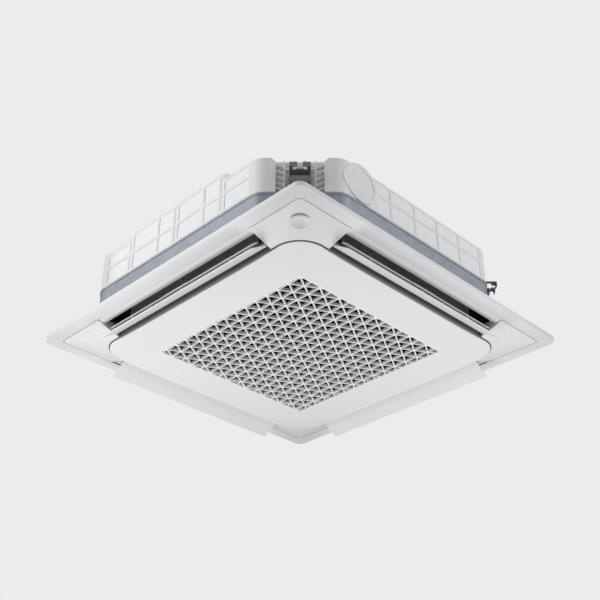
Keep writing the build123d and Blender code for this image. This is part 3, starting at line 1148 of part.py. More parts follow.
# ---------------------------------------------------------------- assembly
def build():
    """Every node's name with its solids."""
    full = cover_solid(0, 0, DECK_LOW)
    hollow = cover_solid(COVER_WALL, COVER_WALL, DECK_LOW + 1)
    nodes = {
        "upper_casing": upper_casing(),
        "lower_band": lower_band(),
        "foam_insulation": foam_insulation(),
        "duct_liners": duct_liners(),
        "top_plate": top_plate(),
        "hanger_brackets": all_corners(hanger_bracket()),
        "bracket_screws": bracket_screws(),
        "knockout_disc": knockout_disc(),
        "panel_frame": panel_frame(),
        "indicator_lenses": indicator_lenses(full),
        "display_board": display_board(),
        "panel_screws": panel_screws(),
        "suction_panel": suction_panel(),
        "suction_grille": suction_grille(),
        "hinge_pins": hinge_pins(),
        "hinge_arms": hinge_arms(),
        "filter_frame": filter_frame(),
        "filter_mesh": filter_mesh(),
        "vane_bearings": vane_bearings(),
        "vane_motors": vane_motors(),
        "latch_housings": latch_housings(),
        "latch_plunger_1": latch_plunger(0),
        "latch_plunger_2": latch_plunger(1),
        "latch_strikers": latch_strikers(),
        "drain_pan": drain_pan(),
        "heat_exchanger": heat_exchanger(),
        "coil_end_plates": coil_end_plates(),
        "return_bends": return_bends(),
        "bell_mouth": bell_mouth(),
        "fan_wheel": fan_wheel(),
        "motor_shaft": motor_shaft(),
        "hub_nut": hub_nut(),
        "fan_motor": fan_motor(),
        "motor_bushes": motor_bushes(),
        "drain_pump": drain_pump(),
        "pump_rotor": pump_rotor(),
        "drain_outlet": drain_outlet(),
        "float_switch": float_switch(),
        "float_ring": float_ring(),
        "gas_pipe": gas_pipe(),
        "liquid_pipe": liquid_pipe(),
        "flare_nuts": [flare_nut(GAS_RADIUS, GAS_Y, GAS_HEIGHT), flare_nut(LIQUID_RADIUS, LIQUID_Y, LIQUID_HEIGHT)],
        "pipe_plate": pipe_plate(),
        "control_box": control_box(),
        "control_box_cover": control_box_cover(),
        "circuit_board": circuit_board(),
        "terminal_blocks": terminal_blocks(),
        "air_sensor": air_sensor(),
    }
    for quarter, corner in enumerate(CORNERS):
        cover = corner_cover(full, hollow, corner == "back_right", corner == "front_left")
        nodes["corner_cover_" + corner] = turned(cover, quarter)
    for quarter, side in enumerate(SIDES):
        nodes["vane_" + side] = turned(air_vane(), quarter)
        nodes["upper_blade_" + side] = turned(upper_blade(), quarter)
    return nodes


def main():
    """Writes one STEP file for each node."""
    os.makedirs("parts", exist_ok=True)
    for name, shapes in build().items():
        listed = shapes if isinstance(shapes, list) else [shapes]
        solids = [solid for shape in listed for solid in shape.solids()]
        placed = [Pos(0, 0, -HANGER_HEIGHT) * solid for solid in solids]
        export_step(placed[0] if len(placed) == 1 else Compound(children=placed), "parts/" + name + ".step")


main()
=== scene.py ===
"""Looks of the ceiling cassette air conditioner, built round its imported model.

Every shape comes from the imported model. This script gives each piece its finish, and adds the floor, the
lamps and the camera. Everything is in metres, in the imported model's own frame: the origin is the centre of
the four hanger brackets, +Z is up, and the photograph's near corner is at -X, -Y.
"""

import bpy
import json
import math
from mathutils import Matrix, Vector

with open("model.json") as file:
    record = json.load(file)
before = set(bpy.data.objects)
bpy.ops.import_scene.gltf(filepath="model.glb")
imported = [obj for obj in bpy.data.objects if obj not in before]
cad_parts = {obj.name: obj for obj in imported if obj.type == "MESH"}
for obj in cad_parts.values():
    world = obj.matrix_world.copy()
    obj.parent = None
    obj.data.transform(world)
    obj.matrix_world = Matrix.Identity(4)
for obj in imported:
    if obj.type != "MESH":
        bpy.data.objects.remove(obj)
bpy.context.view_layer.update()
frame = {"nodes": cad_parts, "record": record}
NODES = frame["nodes"]

MM = 0.001
SIDES = ("right", "back", "left", "front")
EIGHTH_TURN = math.pi / 4

# ---------------------------------------------------------------- places on the object where a finish changes
GRILLE_FACE = -202 * MM                             # height of the grille's and suction panel's lower face
GRILLE_DARK = 10.08 * MM                            # painted shade makes a lattice bar quite dark this far above its face
SEAM_HALF, SEAM_ROUND = 440.4 * MM, 12.4 * MM       # joint line of band and corner covers: half side, corner
SEAM_CORE, SEAM_EDGE = 0.6 * MM, 1.3 * MM           # it is dark to the first distance, gone at the second
SUCTION_HALF, SUCTION_ROUND = 370.5 * MM, 70 * MM   # suction panel's outline: half side, corner
RIM_OUTER, RIM_INNER = -1.9 * MM, -2.1 * MM         # its outer wall lies between the outline and here
SKIRT_LOW, SKIRT_HIGH = -2 * MM, 12 * MM            # heights over its face between which that wall darkens with painted shade
LIP_EDGE, LIP_FADE = 414 * MM, 14 * MM              # edge of the air slot, and the width of the lip's painted shade
TIP_NEAR, TIP_FAR = 50 * MM, 180 * MM               # painted shade: the band is greyer to the first distance from a diagonal
RIB_FACE, RIB_EDGE = 419.7 * MM, 0.4 * MM           # the casing's ribs stand out to here, over a thin edge
RECESS_HALF, RECESS_EDGE = 94 * MM, 102 * MM        # bracket recess, as |x| - |y|, and where its painted shade ends
BEND_END = 160 * MM                                 # end of the painted shade on the bend beside the recess, as |x| - |y|

# ---------------------------------------------------------------- values that several finishes share
NOISE_LOW, NOISE_HIGH = 0.3, 0.7                    # nearly all of a noise pattern lies between these
WHITE = (0.80, 0.81, 0.82)
PANEL_GRAIN = dict(grain=0.9 * MM, tone=0.012)
PANEL_GRAIN_DEPTH = 0.02 * MM
PANEL_ROUGHNESS, PANEL_COAT = 0.36, 0.12
HOLE_PITCH, HOLE_DEPTH = 4.2 * MM, 0.25 * MM

# ---------------------------------------------------------------- share of its colour left in each painted shade or light, and in the dark joint
SEAM_SHADE, TIP_SHADE, LIP_SHADE, SKIRT_SHADE = 0.42, 0.86, 0.4, 0.11       # frame and suction panel; tip, lip and skirt are painted shade, the seam a dark joint
HOLE_SHADE, DIMPLE_SHADE, PAINTED_POCKET_SHADE = 0.78, 0.3, 0.006                      # covers and vanes, grille; all painted shade
RIB_SHADE, STEP_PAINTED_LIGHT, RECESS_SHADE, BEND_SHADE = 0.91, 1.15, 0.78, 0.76    # casing; ribs a greyer tone, steps painted light, recess and bend painted shade


# ---------------------------------------------------------------- shader building blocks
def add(tree, kind, **values):
    """One shader node. Names with a capital are inputs, with underscores for spaces, others are settings."""
    made = tree.nodes.new("ShaderNode" + kind)
    for key, value in values.items():
        if key.islower():
            setattr(made, key, value)
        else:
            made.inputs[key.replace("_", " ")].default_value = value
    return made


def wire(tree, source, target, name):
    """Joins a node's first output, or a given socket, to an input."""
    socket = source if isinstance(source, bpy.types.NodeSocket) else source.outputs[0]
    tree.links.new(socket, target.inputs[name])


def calc(tree, operation, *values):
    """A math node on sockets or numbers."""
    made = add(tree, "Math", operation=operation)
    for index, value in enumerate(values):
        if isinstance(value, (int, float)):
            made.inputs[index].default_value = value
        else:
            wire(tree, value, made, index)
    return made


def spread(tree, value, low, high, to_low, to_high):
    """Maps a value from one span to another, clamped."""
    made = add(tree, "MapRange", From_Min=low, From_Max=high, To_Min=to_low, To_Max=to_high)
    wire(tree, value, made, "Value")
    return made


def wander(tree, pattern, low, high):
    """A noise pattern stretched to run between two values."""
    return spread(tree, pattern, NOISE_LOW, NOISE_HIGH, low, high)


def place(tree, scale=(1, 1, 1), turn=(0, 0, 0)):
    """Object coordinates, stretched and then turned."""
    mapped = add(tree, "Mapping", Scale=scale, Rotation=turn)
    wire(tree, add(tree, "TexCoord").outputs["Object"], mapped, "Vector")
    return mapped


def axes(tree, vector):
    """The x, y and z of a place or a direction."""
    split = add(tree, "SeparateXYZ")
    wire(tree, vector, split, "Vector")
    return split.outputs


def facing(tree):
    """The x, y and z of the direction in which a surface looks."""
    return axes(tree, add(tree, "TexCoord").outputs["Normal"])


def cloud(tree, vector, size, detail):
    """Noise whose grains are about the given size in metres."""
    made = add(tree, "TexNoise", Scale=1 / size, Detail=detail, Roughness=0.5)
    wire(tree, vector, made, "Vector")
    return made.outputs["Fac"]


def cells(tree, vector, size, **settings):
    """Cells of the given size in metres, with a colour each and the distance to their middles."""
    made = add(tree, "TexVoronoi", Scale=1 / size, **settings)
    wire(tree, vector, made, "Vector")
    return made.outputs


def tinted(tree, factor, first, second):
    """Mix of two colours by a factor."""
    made = add(tree, "Mix", data_type="RGBA")
    wire(tree, factor, made, "Factor")
    for socket, colour in ((made.inputs[6], first), (made.inputs[7], second)):
        if isinstance(colour, bpy.types.NodeSocket):
            tree.links.new(colour, socket)
        else:
            socket.default_value = (*colour, 1)
    return made.outputs[2]


def relief(tree, height, depth, before=None):
    """Bump of the given depth in metres, on top of an earlier one."""
    made = add(tree, "Bump", Strength=1.0, Distance=depth)
    wire(tree, height, made, "Height")
    if before is not None:
        wire(tree, before, made, "Normal")
    return made


def shaded(colour, by):
    """A colour made lighter or darker."""
    return tuple(min(1.0, channel * by) for channel in colour)


class Paint:
    """A material with its shader and object coordinates. done() connects it and gives the material."""

    def __init__(self, name, metallic=0.0, roughness=0.5, coat=0.0, specular=0.5):
        self.material = bpy.data.materials.new(name)
        self.material.use_nodes = True
        self.tree = self.material.node_tree
        self.shader = self.tree.nodes["Principled BSDF"]
        self.shader.inputs["Metallic"].default_value = metallic
        self.shader.inputs["Roughness"].default_value = roughness
        self.shader.inputs["Coat Weight"].default_value = coat
        self.shader.inputs["Specular IOR Level"].default_value = specular
        self.at = place(self.tree)

    def done(self, colour, roughness=None, bump=None):
        """Connects colour, roughness and bump, and gives the material."""
        for source, name in ((colour, "Base Color"), (roughness, "Roughness"), (bump, "Normal")):
            if source is not None:
                wire(self.tree, source, self.shader, name)
        return self.material


# ---------------------------------------------------------------- masks, from place and direction
def sizes(tree, at):
    """Distances from the middle planes, |x| and |y|."""
    return [calc(tree, "ABSOLUTE", socket) for socket in axes(tree, at)[:2]]


def off_diagonal(tree, size):
    """How far a place is from the nearest diagonal, as the difference of |x| and |y|."""
    return calc(tree, "ABSOLUTE", calc(tree, "SUBTRACT", *size))


def outside(tree, at, half, rounding):
    """Distance outside a rounded square, less than nought within it.

    It is the length of (|x| - h, |y| - h), each no less than nought, less the corner's radius, where h is the
    half side without the corner.
    """
    straight = half - rounding
    over = [calc(tree, "MAXIMUM", calc(tree, "SUBTRACT", size, straight), 0.0) for size in sizes(tree, at)]
    squares = [calc(tree, "MULTIPLY", each, each) for each in over]
    return calc(tree, "SUBTRACT", calc(tree, "SQRT", calc(tree, "ADD", *squares)), rounding)


def seam(tree, at):
    """One on the thin joint line round the panel, a rounded square, nought elsewhere."""
    away = calc(tree, "ABSOLUTE", outside(tree, at, SEAM_HALF, SEAM_ROUND))
    return spread(tree, away, SEAM_CORE, SEAM_EDGE, 1, 0)


def upright(tree):
    """One where a surface doesn't look downwards, nought on lower faces."""
    return spread(tree, facing(tree)[2], -0.75, -0.65, 0, 1)


def sideways(tree, at):
    """One where the casing's surface looks along its side, up or down, nought where it looks straight out."""
    across, along = [calc(tree, "ABSOLUTE", socket) for socket in facing(tree)[:2]]
    on_x = calc(tree, "GREATER_THAN", *sizes(tree, at))
    on_y = calc(tree, "SUBTRACT", 1.0, on_x)
    on_sides = [calc(tree, "MULTIPLY", *pair) for pair in ((on_x, across), (on_y, along))]
    return spread(tree, calc(tree, "MAXIMUM", *on_sides), 0.4, 0.65, 1, 0)


# ---------------------------------------------------------------- finishes of the panel
def grained(p, colour, grain, tone):
    """A colour that changes slowly by a small share, with a fine eroded grain. Gives colour and grain."""
    slow = cloud(p.tree, p.at, 160 * MM, 3)
    fine = cloud(p.tree, p.at, grain, 2)
    tint = tinted(p.tree, slow, shaded(colour, 1 - tone), shaded(colour, 1 + tone))
    return tinted(p.tree, spread(p.tree, fine, 0.3, 0.75, 0, 0.16), tint, shaded(colour, 0.9)), fine


def moulded_gloss(p, roughness):
    """Roughness that wanders a little over a hand's breadth."""
    return wander(p.tree, cloud(p.tree, p.at, 50 * MM, 3), roughness - 0.05, roughness + 0.06)


def moulding(name, colour, roughness=0.42, grain=1.1 * MM, depth=0.04 * MM, tone=0.03, coat=0.0):
    """Injection moulded plastic: fine spark-eroded grain, slow change of tone, uneven gloss."""
    p = Paint(name, roughness=roughness, coat=coat)
    tint, fine = grained(p, colour, grain, tone)
    return p.done(tint, moulded_gloss(p, roughness), relief(p.tree, fine, depth))


def framed(name, colour):
    """Outer band and lips: painted shade makes them greyer at the tips and where a lip rolls into its slot;
    dark in the joint.
    """
    p = Paint(name, roughness=PANEL_ROUGHNESS, coat=PANEL_COAT)
    tint, fine = grained(p, colour, **PANEL_GRAIN)
    size = sizes(p.tree, p.at)
    # painted shade: the band's tips near the diagonals are greyer
    tip_painted_shade = spread(p.tree, off_diagonal(p.tree, size), TIP_NEAR, TIP_FAR, 1, 0)
    tint = tinted(p.tree, tip_painted_shade, tint, shaded(colour, TIP_SHADE))
    # painted shade: the lip darkens where it rolls into the slot
    lip_painted_shade = spread(p.tree, calc(p.tree, "MAXIMUM", *size), LIP_EDGE, LIP_EDGE + LIP_FADE, 1, 0)
    tint = tinted(p.tree, calc(p.tree, "MULTIPLY", lip_painted_shade, lip_painted_shade), tint, shaded(colour, LIP_SHADE))
    tint = tinted(p.tree, seam(p.tree, p.at), tint, shaded(colour, SEAM_SHADE))
    return p.done(tint, moulded_gloss(p, PANEL_ROUGHNESS), relief(p.tree, fine, PANEL_GRAIN_DEPTH))


def skirted(name, colour):
    """Suction panel: painted shade of the slot turns its upright outer wall dark grey above the edge, where
    it stands in the slot.
    """
    p = Paint(name, roughness=PANEL_ROUGHNESS, coat=PANEL_COAT)
    height = axes(p.tree, p.at)[2]
    painted_shade_rise = spread(p.tree, height, GRILLE_FACE + SKIRT_LOW, GRILLE_FACE + SKIRT_HIGH, 0, 1)
    rim = spread(p.tree, outside(p.tree, p.at, SUCTION_HALF, SUCTION_ROUND), RIM_INNER, RIM_OUTER, 0, 1)
    wall = calc(p.tree, "MULTIPLY", upright(p.tree), rim)
    # painted shade on the outer wall, darker higher up in the slot
    shade = calc(p.tree, "POWER", calc(p.tree, "MULTIPLY", painted_shade_rise, wall), 0.45)
    tint, fine = grained(p, colour, **PANEL_GRAIN)
    tint = tinted(p.tree, shade, tint, shaded(colour, SKIRT_SHADE))
    return p.done(tint, moulded_gloss(p, PANEL_ROUGHNESS), relief(p.tree, fine, PANEL_GRAIN_DEPTH))


def pierced(name, colour, across=(1, 1, 1), dished=False):
    """Plastic whose lower face has slanting rows of tiny shallow holes that waver a little in width.

    A place is darker the nearer it is to a hole's middle, painted shade in the holes. In the dished cover,
    the wall of the dimple that looks away from the near corner is darker too, painted shade chosen by the way
    it faces.
    """
    p = Paint(name, roughness=0.45)
    rows = place(p.tree, across, (0, 0, EIGHTH_TURN))
    holes = cells(p.tree, rows, HOLE_PITCH, voronoi_dimensions="2D", Randomness=0.0)
    edge = wander(p.tree, cloud(p.tree, p.at, 12 * MM, 1), 0.30, 0.46)
    solid = add(p.tree, "MapRange", interpolation_type="SMOOTHSTEP", From_Min=0.12)
    wire(p.tree, holes["Distance"], solid, "Value")
    wire(p.tree, edge, solid, "From Max")
    whole = calc(p.tree, "MAXIMUM", solid, upright(p.tree))
    tint = tinted(p.tree, cloud(p.tree, p.at, 120 * MM, 3), shaded(colour, 0.97), shaded(colour, 1.03))
    # painted shade: darker towards each hole's middle
    tint = tinted(p.tree, whole, shaded(colour, HOLE_SHADE), tint)
    if dished:
        # painted shade on the dimple's wall that faces away from the near corner
        dimple_painted_shade = spread(p.tree, calc(p.tree, "ADD", *facing(p.tree)[:2]), -0.1, 0.2, 0, 1)
        tint = tinted(p.tree, dimple_painted_shade, tint, shaded(colour, DIMPLE_SHADE))
    tint = tinted(p.tree, seam(p.tree, p.at), tint, shaded(colour, SEAM_SHADE))
    grain = relief(p.tree, cloud(p.tree, p.at, 0.9 * MM, 2), 0.03 * MM)
    return p.done(tint, None, relief(p.tree, whole, HOLE_DEPTH, grain))


def lattice(name, colour):
    """Lattice bars: pale at the face, with painted shade that deepens slowly and then fast up the bars to a
    black web behind it.
    """
    p = Paint(name, roughness=0.42)
    height = axes(p.tree, p.at)[2]
    # painted shade in the grille's pockets, growing with height over the face
    pocket_painted_shade = spread(p.tree, height, GRILLE_FACE + 0.4 * MM, GRILLE_FACE + GRILLE_DARK, 0, 1)
    tint = tinted(p.tree, cloud(p.tree, p.at, 100 * MM, 3), shaded(colour, 0.98), shaded(colour, 1.02))
    tint = tinted(p.tree, calc(p.tree, "POWER", pocket_painted_shade, 2.2), tint, shaded(colour, PAINTED_POCKET_SHADE))
    return p.done(tint, None, relief(p.tree, cloud(p.tree, p.at, 0.9 * MM, 2), 0.02 * MM))


# ---------------------------------------------------------------- finishes of the body and of what is inside
def ribbed(name, colour):
    """Moulded casing: matt, its ribs a little greyer than the sunk fields and their steps painted paler than
    both, as painted light.

    The walls of the bracket recesses and the bends beside them carry painted shade, the more the nearer the
    recess.
    """
    p = Paint(name, roughness=0.5)
    size = sizes(p.tree, p.at)
    rib = spread(p.tree, calc(p.tree, "MAXIMUM", *size), RIB_FACE - RIB_EDGE, RIB_FACE, 0, 1)
    tint = tinted(p.tree, cloud(p.tree, p.at, 100 * MM, 3), shaded(colour, 0.98), shaded(colour, 1.02))
    tint = tinted(p.tree, rib, tint, shaded(colour, RIB_SHADE))
    # painted light: steps that look along the side are made paler
    tint = tinted(p.tree, sideways(p.tree, p.at), tint, shaded(colour, STEP_PAINTED_LIGHT))
    wall = spread(p.tree, calc(p.tree, "ABSOLUTE", facing(p.tree)[2]), 0.5, 0.7, 1, 0)
    beside = off_diagonal(p.tree, size)
    # painted shade on the walls of the bracket recess
    recess = calc(p.tree, "MULTIPLY", wall, spread(p.tree, beside, RECESS_HALF, RECESS_EDGE, 1, 0))
    tint = tinted(p.tree, recess, tint, shaded(colour, RECESS_SHADE))
    # painted shade on the bends beside the recess, fading away from it
    near = spread(p.tree, beside, RECESS_EDGE, BEND_END, 1, 0)
    bend_painted_shade = calc(p.tree, "MULTIPLY", near, calc(p.tree, "SUBTRACT", 1.0, recess))
    tint = tinted(p.tree, calc(p.tree, "MULTIPLY", bend_painted_shade, wall), tint, shaded(colour, BEND_SHADE))
    gloss = wander(p.tree, cloud(p.tree, p.at, 30 * MM, 4), 0.44, 0.58)
    return p.done(tint, gloss, relief(p.tree, cloud(p.tree, p.at, 2 * MM, 2), 0.1 * MM))


def galvanised(name, colour):
    """Zinc coated sheet: flat crystals of different brightness, fine rolling lines and dull patches."""
    p = Paint(name, metallic=0.45, roughness=0.42)
    crystals = cells(p.tree, p.at, 11 * MM, Randomness=1.0)
    shade = add(p.tree, "SeparateColor")
    wire(p.tree, crystals["Color"], shade, "Color")
    tint = tinted(p.tree, shade.outputs[0], shaded(colour, 0.9), shaded(colour, 1.08))
    dull = spread(p.tree, cloud(p.tree, p.at, 90 * MM, 4), 0.45, 0.75, 0, 0.5)
    tint = tinted(p.tree, dull, tint, shaded(colour, 0.9))
    gloss = spread(p.tree, shade.outputs[1], 0, 1, 0.34, 0.54)
    lines = cloud(p.tree, place(p.tree, (1, 1, 30)), 30 * MM, 3)
    return p.done(tint, gloss, relief(p.tree, lines, 0.03 * MM))


def bare_metal(name, colour, roughness, stretch):
    """Turned, drawn or plated metal: streaks across the direction that is stretched, and light tarnish."""
    p = Paint(name, metallic=1.0, roughness=roughness)
    streak = cloud(p.tree, place(p.tree, stretch), 20 * MM, 3)
    tarnish = cloud(p.tree, p.at, 30 * MM, 4)
    tint = tinted(p.tree, streak, shaded(colour, 0.88), shaded(colour, 1.06))
    tint = tinted(p.tree, spread(p.tree, tarnish, 0.5, 0.8, 0, 0.45), tint, shaded(colour, 0.6))
    gloss = wander(p.tree, tarnish, roughness - 0.08, roughness + 0.12)
    return p.done(tint, gloss, relief(p.tree, streak, 0.02 * MM))


def powder_coat(name, colour, roughness=0.45, metallic=0.0):
    """Baked coat with an orange-peel surface and rubbed paler patches."""
    p = Paint(name, metallic=metallic, roughness=roughness)
    rub = cloud(p.tree, p.at, 20 * MM, 5)
    tint = tinted(p.tree, spread(p.tree, rub, 0.55, 0.8, 0, 0.5), colour, shaded(colour, 1.8))
    gloss = wander(p.tree, rub, roughness - 0.06, roughness + 0.1)
    return p.done(tint, gloss, relief(p.tree, cloud(p.tree, p.at, 1.6 * MM, 2), 0.08 * MM))


def cellular(name, colour, cell=2.2 * MM, depth=0.3 * MM):
    """Foam: small closed cells with a dull skin."""
    p = Paint(name, roughness=0.85, specular=0.25)
    away = cells(p.tree, p.at, cell, Randomness=1.0)["Distance"]
    tint = tinted(p.tree, cloud(p.tree, p.at, 20 * MM, 4), shaded(colour, 0.75), shaded(colour, 1.35))
    tint = tinted(p.tree, spread(p.tree, away, 0.0, 0.6, 0, 0.5), tint, shaded(colour, 1.5))
    return p.done(tint, None, relief(p.tree, away, depth))


def finned(name, colour, pitch=1.8 * MM, row=21 * MM):
    """Stack of thin upright fins seen on edge, with painted shade in the gaps between them and lighter rows
    of tube collars.

    The fins repeat along x + y by their pitch. The collars follow a sine of the height, one wave to a row.
    """
    p = Paint(name, metallic=0.8, roughness=0.38)
    x, y, z = axes(p.tree, p.at)
    phase = calc(p.tree, "FRACT", calc(p.tree, "DIVIDE", calc(p.tree, "ADD", x, y), pitch))
    away = calc(p.tree, "ABSOLUTE", calc(p.tree, "SUBTRACT", phase, 0.5))
    fin = spread(p.tree, away, 0.12, 0.3, 1, 0)
    collars = calc(p.tree, "SINE", calc(p.tree, "MULTIPLY", z, 2 * math.pi / row))
    light = spread(p.tree, collars, -1, 1, 0, 1)
    tint = tinted(p.tree, light, shaded(colour, 0.85), shaded(colour, 1.1))
    # painted shade in the gaps between the fins
    tint = tinted(p.tree, fin, shaded(colour, 0.22), tint)
    return p.done(tint, None, relief(p.tree, fin, 0.5 * MM))


def woven_net(name, colour, pitch=2.4 * MM):
    """Fine filter net: threads at the crests of a sine of x and of a sine of y, dark openings between."""
    p = Paint(name, roughness=0.8, specular=0.2)
    threads = []
    for socket in axes(p.tree, p.at)[:2]:
        phase = calc(p.tree, "MULTIPLY", socket, 2 * math.pi / pitch)
        threads.append(spread(p.tree, calc(p.tree, "SINE", phase), 0.2, 0.9, 0, 1))
    thread = calc(p.tree, "MAXIMUM", *threads)
    tint = tinted(p.tree, thread, shaded(colour, 0.3), shaded(colour, 1.5))
    return p.done(tint, None, relief(p.tree, thread, 0.3 * MM))


def circuit(name, colour):
    """Solder mask over copper tracks: rows of long bricks with raised fine lines between them."""
    p = Paint(name, roughness=0.35, coat=0.3)
    bricks = add(p.tree, "TexBrick", Scale=120.0, Mortar_Size=0.03, Brick_Width=0.9, Row_Height=0.3)
    for socket, by in (("Color1", 1.0), ("Color2", 1.35), ("Mortar", 2.0)):
        bricks.inputs[socket].default_value = (*shaded(colour, by), 1)
    wire(p.tree, p.at, bricks, "Vector")
    return p.done(bricks.outputs["Color"], None, relief(p.tree, bricks.outputs["Fac"], 0.05 * MM))


def rubbery(name, colour):
    """Soft rubber: matt, with a dusty bloom."""
    p = Paint(name, roughness=0.75, specular=0.3)
    dust = cloud(p.tree, p.at, 6 * MM, 5)
    tint = tinted(p.tree, spread(p.tree, dust, 0.4, 0.75, 0, 1), colour, shaded(colour, 2.2))
    grain = cloud(p.tree, p.at, 1 * MM, 2)
    return p.done(tint, wander(p.tree, dust, 0.65, 0.85), relief(p.tree, grain, 0.06 * MM))


# ---------------------------------------------------------------- each piece's finish
VANE_LEAN = 1 / math.cos(math.radians(34))      # the vanes' holes sit this much closer across the vane
HOLED_WHITE, VANE_WHITE = shaded(WHITE, 0.97), shaded(WHITE, 0.94)
SMOOTH_PANEL = dict(PANEL_GRAIN, depth=PANEL_GRAIN_DEPTH)
PLASTIC_GRAIN = dict(grain=1.2 * MM, depth=0.05 * MM)
ROD_LINES = (1, 1, 25)

RECIPES = {
    "white_casing": (ribbed, dict(colour=(0.87, 0.88, 0.885))),
    "galvanised": (galvanised, dict(colour=(0.34, 0.36, 0.405))),
    "black_foam": (cellular, dict(colour=(0.012, 0.012, 0.012))),
    "dark_liner": (cellular, dict(colour=(0.42, 0.43, 0.445), cell=1.6 * MM, depth=0.1 * MM)),
    "dark_steel": (powder_coat, dict(colour=(0.20, 0.205, 0.215), roughness=0.4, metallic=0.3)),
    "zinc_plated": (bare_metal, dict(colour=(0.55, 0.56, 0.58), roughness=0.32, stretch=ROD_LINES)),
    "panel_white": (moulding, dict(colour=WHITE, roughness=PANEL_ROUGHNESS, coat=PANEL_COAT, **SMOOTH_PANEL)),
    "suction_white": (skirted, dict(colour=WHITE)),
    "pierced_white": (pierced, dict(colour=HOLED_WHITE)),
    "dished_white": (pierced, dict(colour=HOLED_WHITE, dished=True)),
    "frame_white": (framed, dict(colour=WHITE)),
    "smoked_lens": (moulding, dict(colour=(0.20, 0.21, 0.22), roughness=0.15, grain=3 * MM, depth=0.01 * MM,
                                   tone=0.05, coat=0.5)),
    "circuit_green": (circuit, dict(colour=(0.015, 0.10, 0.04))),
    "grille_white": (lattice, dict(colour=shaded(WHITE, 1.1))),
    "blade_white": (moulding, dict(colour=WHITE, **SMOOTH_PANEL)),
    "grey_plastic": (moulding, dict(colour=(0.36, 0.37, 0.39), roughness=0.45, **PLASTIC_GRAIN)),
    "filter_net": (woven_net, dict(colour=(0.020, 0.020, 0.022))),
    "motor_steel": (bare_metal, dict(colour=(0.50, 0.51, 0.53), roughness=0.34, stretch=ROD_LINES)),
    "pan_foam": (cellular, dict(colour=(0.03, 0.03, 0.033), cell=3 * MM, depth=0.2 * MM)),
    "aluminium_fins": (finned, dict(colour=(0.60, 0.62, 0.65))),
    "copper": (bare_metal, dict(colour=(0.72, 0.30, 0.16), roughness=0.3, stretch=(3, 3, 30))),
    "fan_plastic": (moulding, dict(colour=(0.075, 0.08, 0.088), roughness=0.5, grain=1.2 * MM,
                                   depth=0.06 * MM)),
    "motor_black": (powder_coat, dict(colour=(0.012, 0.012, 0.014))),
    "rubber_black": (rubbery, dict(colour=(0.012, 0.012, 0.012))),
    "black_plastic": (moulding, dict(colour=(0.014, 0.014, 0.015), roughness=0.45, **PLASTIC_GRAIN)),
    "brass_nut": (bare_metal, dict(colour=(0.66, 0.46, 0.18), roughness=0.26, stretch=(30, 1, 1))),
}
OWN_FINISH = {"suction_panel": "suction_white", "panel_frame": "frame_white",
              "corner_cover_front_left": "dished_white"}
for side, across in zip(SIDES, ((VANE_LEAN, 1, 1), (1, VANE_LEAN, 1)) * 2):
    RECIPES["vane_white_" + side] = (pierced, dict(colour=VANE_WHITE, across=across))
    OWN_FINISH["vane_" + side] = "vane_white_" + side
    OWN_FINISH["upper_blade_" + side] = "blade_white"

FINISHES = {name: make(name, **settings) for name, (make, settings) in RECIPES.items()}


def put(piece, finish):
    """Gives every material slot of a piece one finish."""
    if not piece.material_slots:
        piece.data.materials.append(finish)
    for held in piece.material_slots:
        held.material = finish


for part in frame["record"]["subparts"]:
    put(NODES[part["node"]], FINISHES[OWN_FINISH.get(part["node"], part["material_slot"])])


# ---------------------------------------------------------------- room, lamps and camera
BACKDROP = (0.838, 0.838, 0.838)            # what the camera sees behind the object
SKY = (0.33, 0.333, 0.34)                   # what lights the object from all round
FLOOR_HEIGHT, FLOOR_HALF = -5.0, 20.0       # so low that a view from below stays over it
BODY_MIDDLE, PANEL_MIDDLE = (0, 0, -0.1), (0, 0, -0.2)
CAMERA_AT = (-1.6572, -1.6572, -1.4788)     # fitted to the panel's corners and edges, as are the next two
CAMERA_LOOK = (0.60303, 0.60303, 0.52216)
LENS, SENSOR = 61.53, 36.0                  # in millimetres


def area_light(name, at, towards, size, power):
    """Square soft light that the camera doesn't see."""
    lamp = bpy.data.lights.new(name, "AREA")
    lamp.shape, lamp.size, lamp.energy = "SQUARE", size, power
    made = bpy.data.objects.new(name, lamp)
    bpy.context.scene.collection.objects.link(made)
    made.location = at
    made.rotation_euler = (Vector(towards) - Vector(at)).to_track_quat("-Z", "Y").to_euler()
    made.visible_camera = False


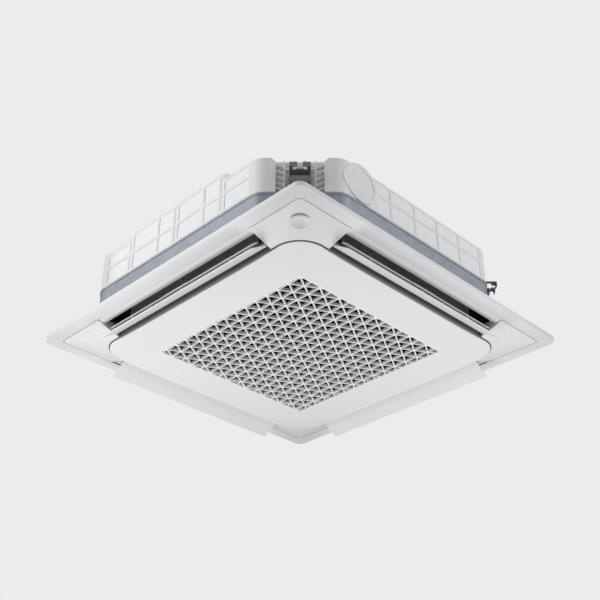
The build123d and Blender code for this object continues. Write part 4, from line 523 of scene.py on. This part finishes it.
def lamps():
    """Soft studio light, stronger from the left, with two weak lamps below and a broad one above."""
    area_light("key_left", (-3.0, 1.0, 0.5), BODY_MIDDLE, size=2.6, power=64)
    area_light("fill_right", (1.0, -3.2, 0.5), BODY_MIDDLE, size=2.4, power=46)
    area_light("below_left", (-0.62, 0.54, -1.3), PANEL_MIDDLE, size=0.9, power=9.9)
    area_light("below_right", (0.54, -0.62, -1.3), PANEL_MIDDLE, size=0.9, power=8.0)
    area_light("above", (0.6, 0.6, 3.0), (0, 0, 0), size=3.0, power=20)


def lay_floor():
    """Plain pale floor, one square far below the object."""
    data = bpy.data.meshes.new("floor")
    corners = ((-1, -1), (1, -1), (1, 1), (-1, 1))
    data.from_pydata([(x * FLOOR_HALF, y * FLOOR_HALF, FLOOR_HEIGHT) for x, y in corners], [], [(0, 1, 2, 3)])
    floor = bpy.data.objects.new("floor", data)
    bpy.context.scene.collection.objects.link(floor)
    data.materials.append(moulding("studio_floor", (0.78, 0.78, 0.78), roughness=0.7, grain=20 * MM,
                                   depth=0.1 * MM, tone=0.01))


def light_room():
    """A plain pale backdrop for the camera, and a dimmer one that lights the object."""
    world = bpy.data.worlds.new("studio")
    bpy.context.scene.world = world
    world.use_nodes = True
    tree = world.node_tree
    seen, lit = tree.nodes["Background"], add(tree, "Background")
    seen.inputs["Color"].default_value = (*BACKDROP, 1)
    lit.inputs["Color"].default_value = (*SKY, 1)
    mix = add(tree, "MixShader")
    wire(tree, add(tree, "LightPath").outputs["Is Camera Ray"], mix, 0)
    wire(tree, lit, mix, 1)
    wire(tree, seen, mix, 2)
    wire(tree, mix, tree.nodes["World Output"], "Surface")


def camera():
    """The photograph's view, from below the near corner."""
    data = bpy.data.cameras.new("camera")
    data.sensor_width, data.lens = SENSOR, LENS
    data.clip_start, data.clip_end = 0.05, 60
    made = bpy.data.objects.new("camera", data)
    bpy.context.scene.collection.objects.link(made)
    made.location = CAMERA_AT
    made.rotation_mode = "QUATERNION"
    made.rotation_quaternion = Vector(CAMERA_LOOK).to_track_quat("-Z", "Y")
    bpy.context.scene.camera = made


lay_floor()
light_room()
lamps()
camera()
bpy.context.scene.view_settings.view_transform = "Standard"
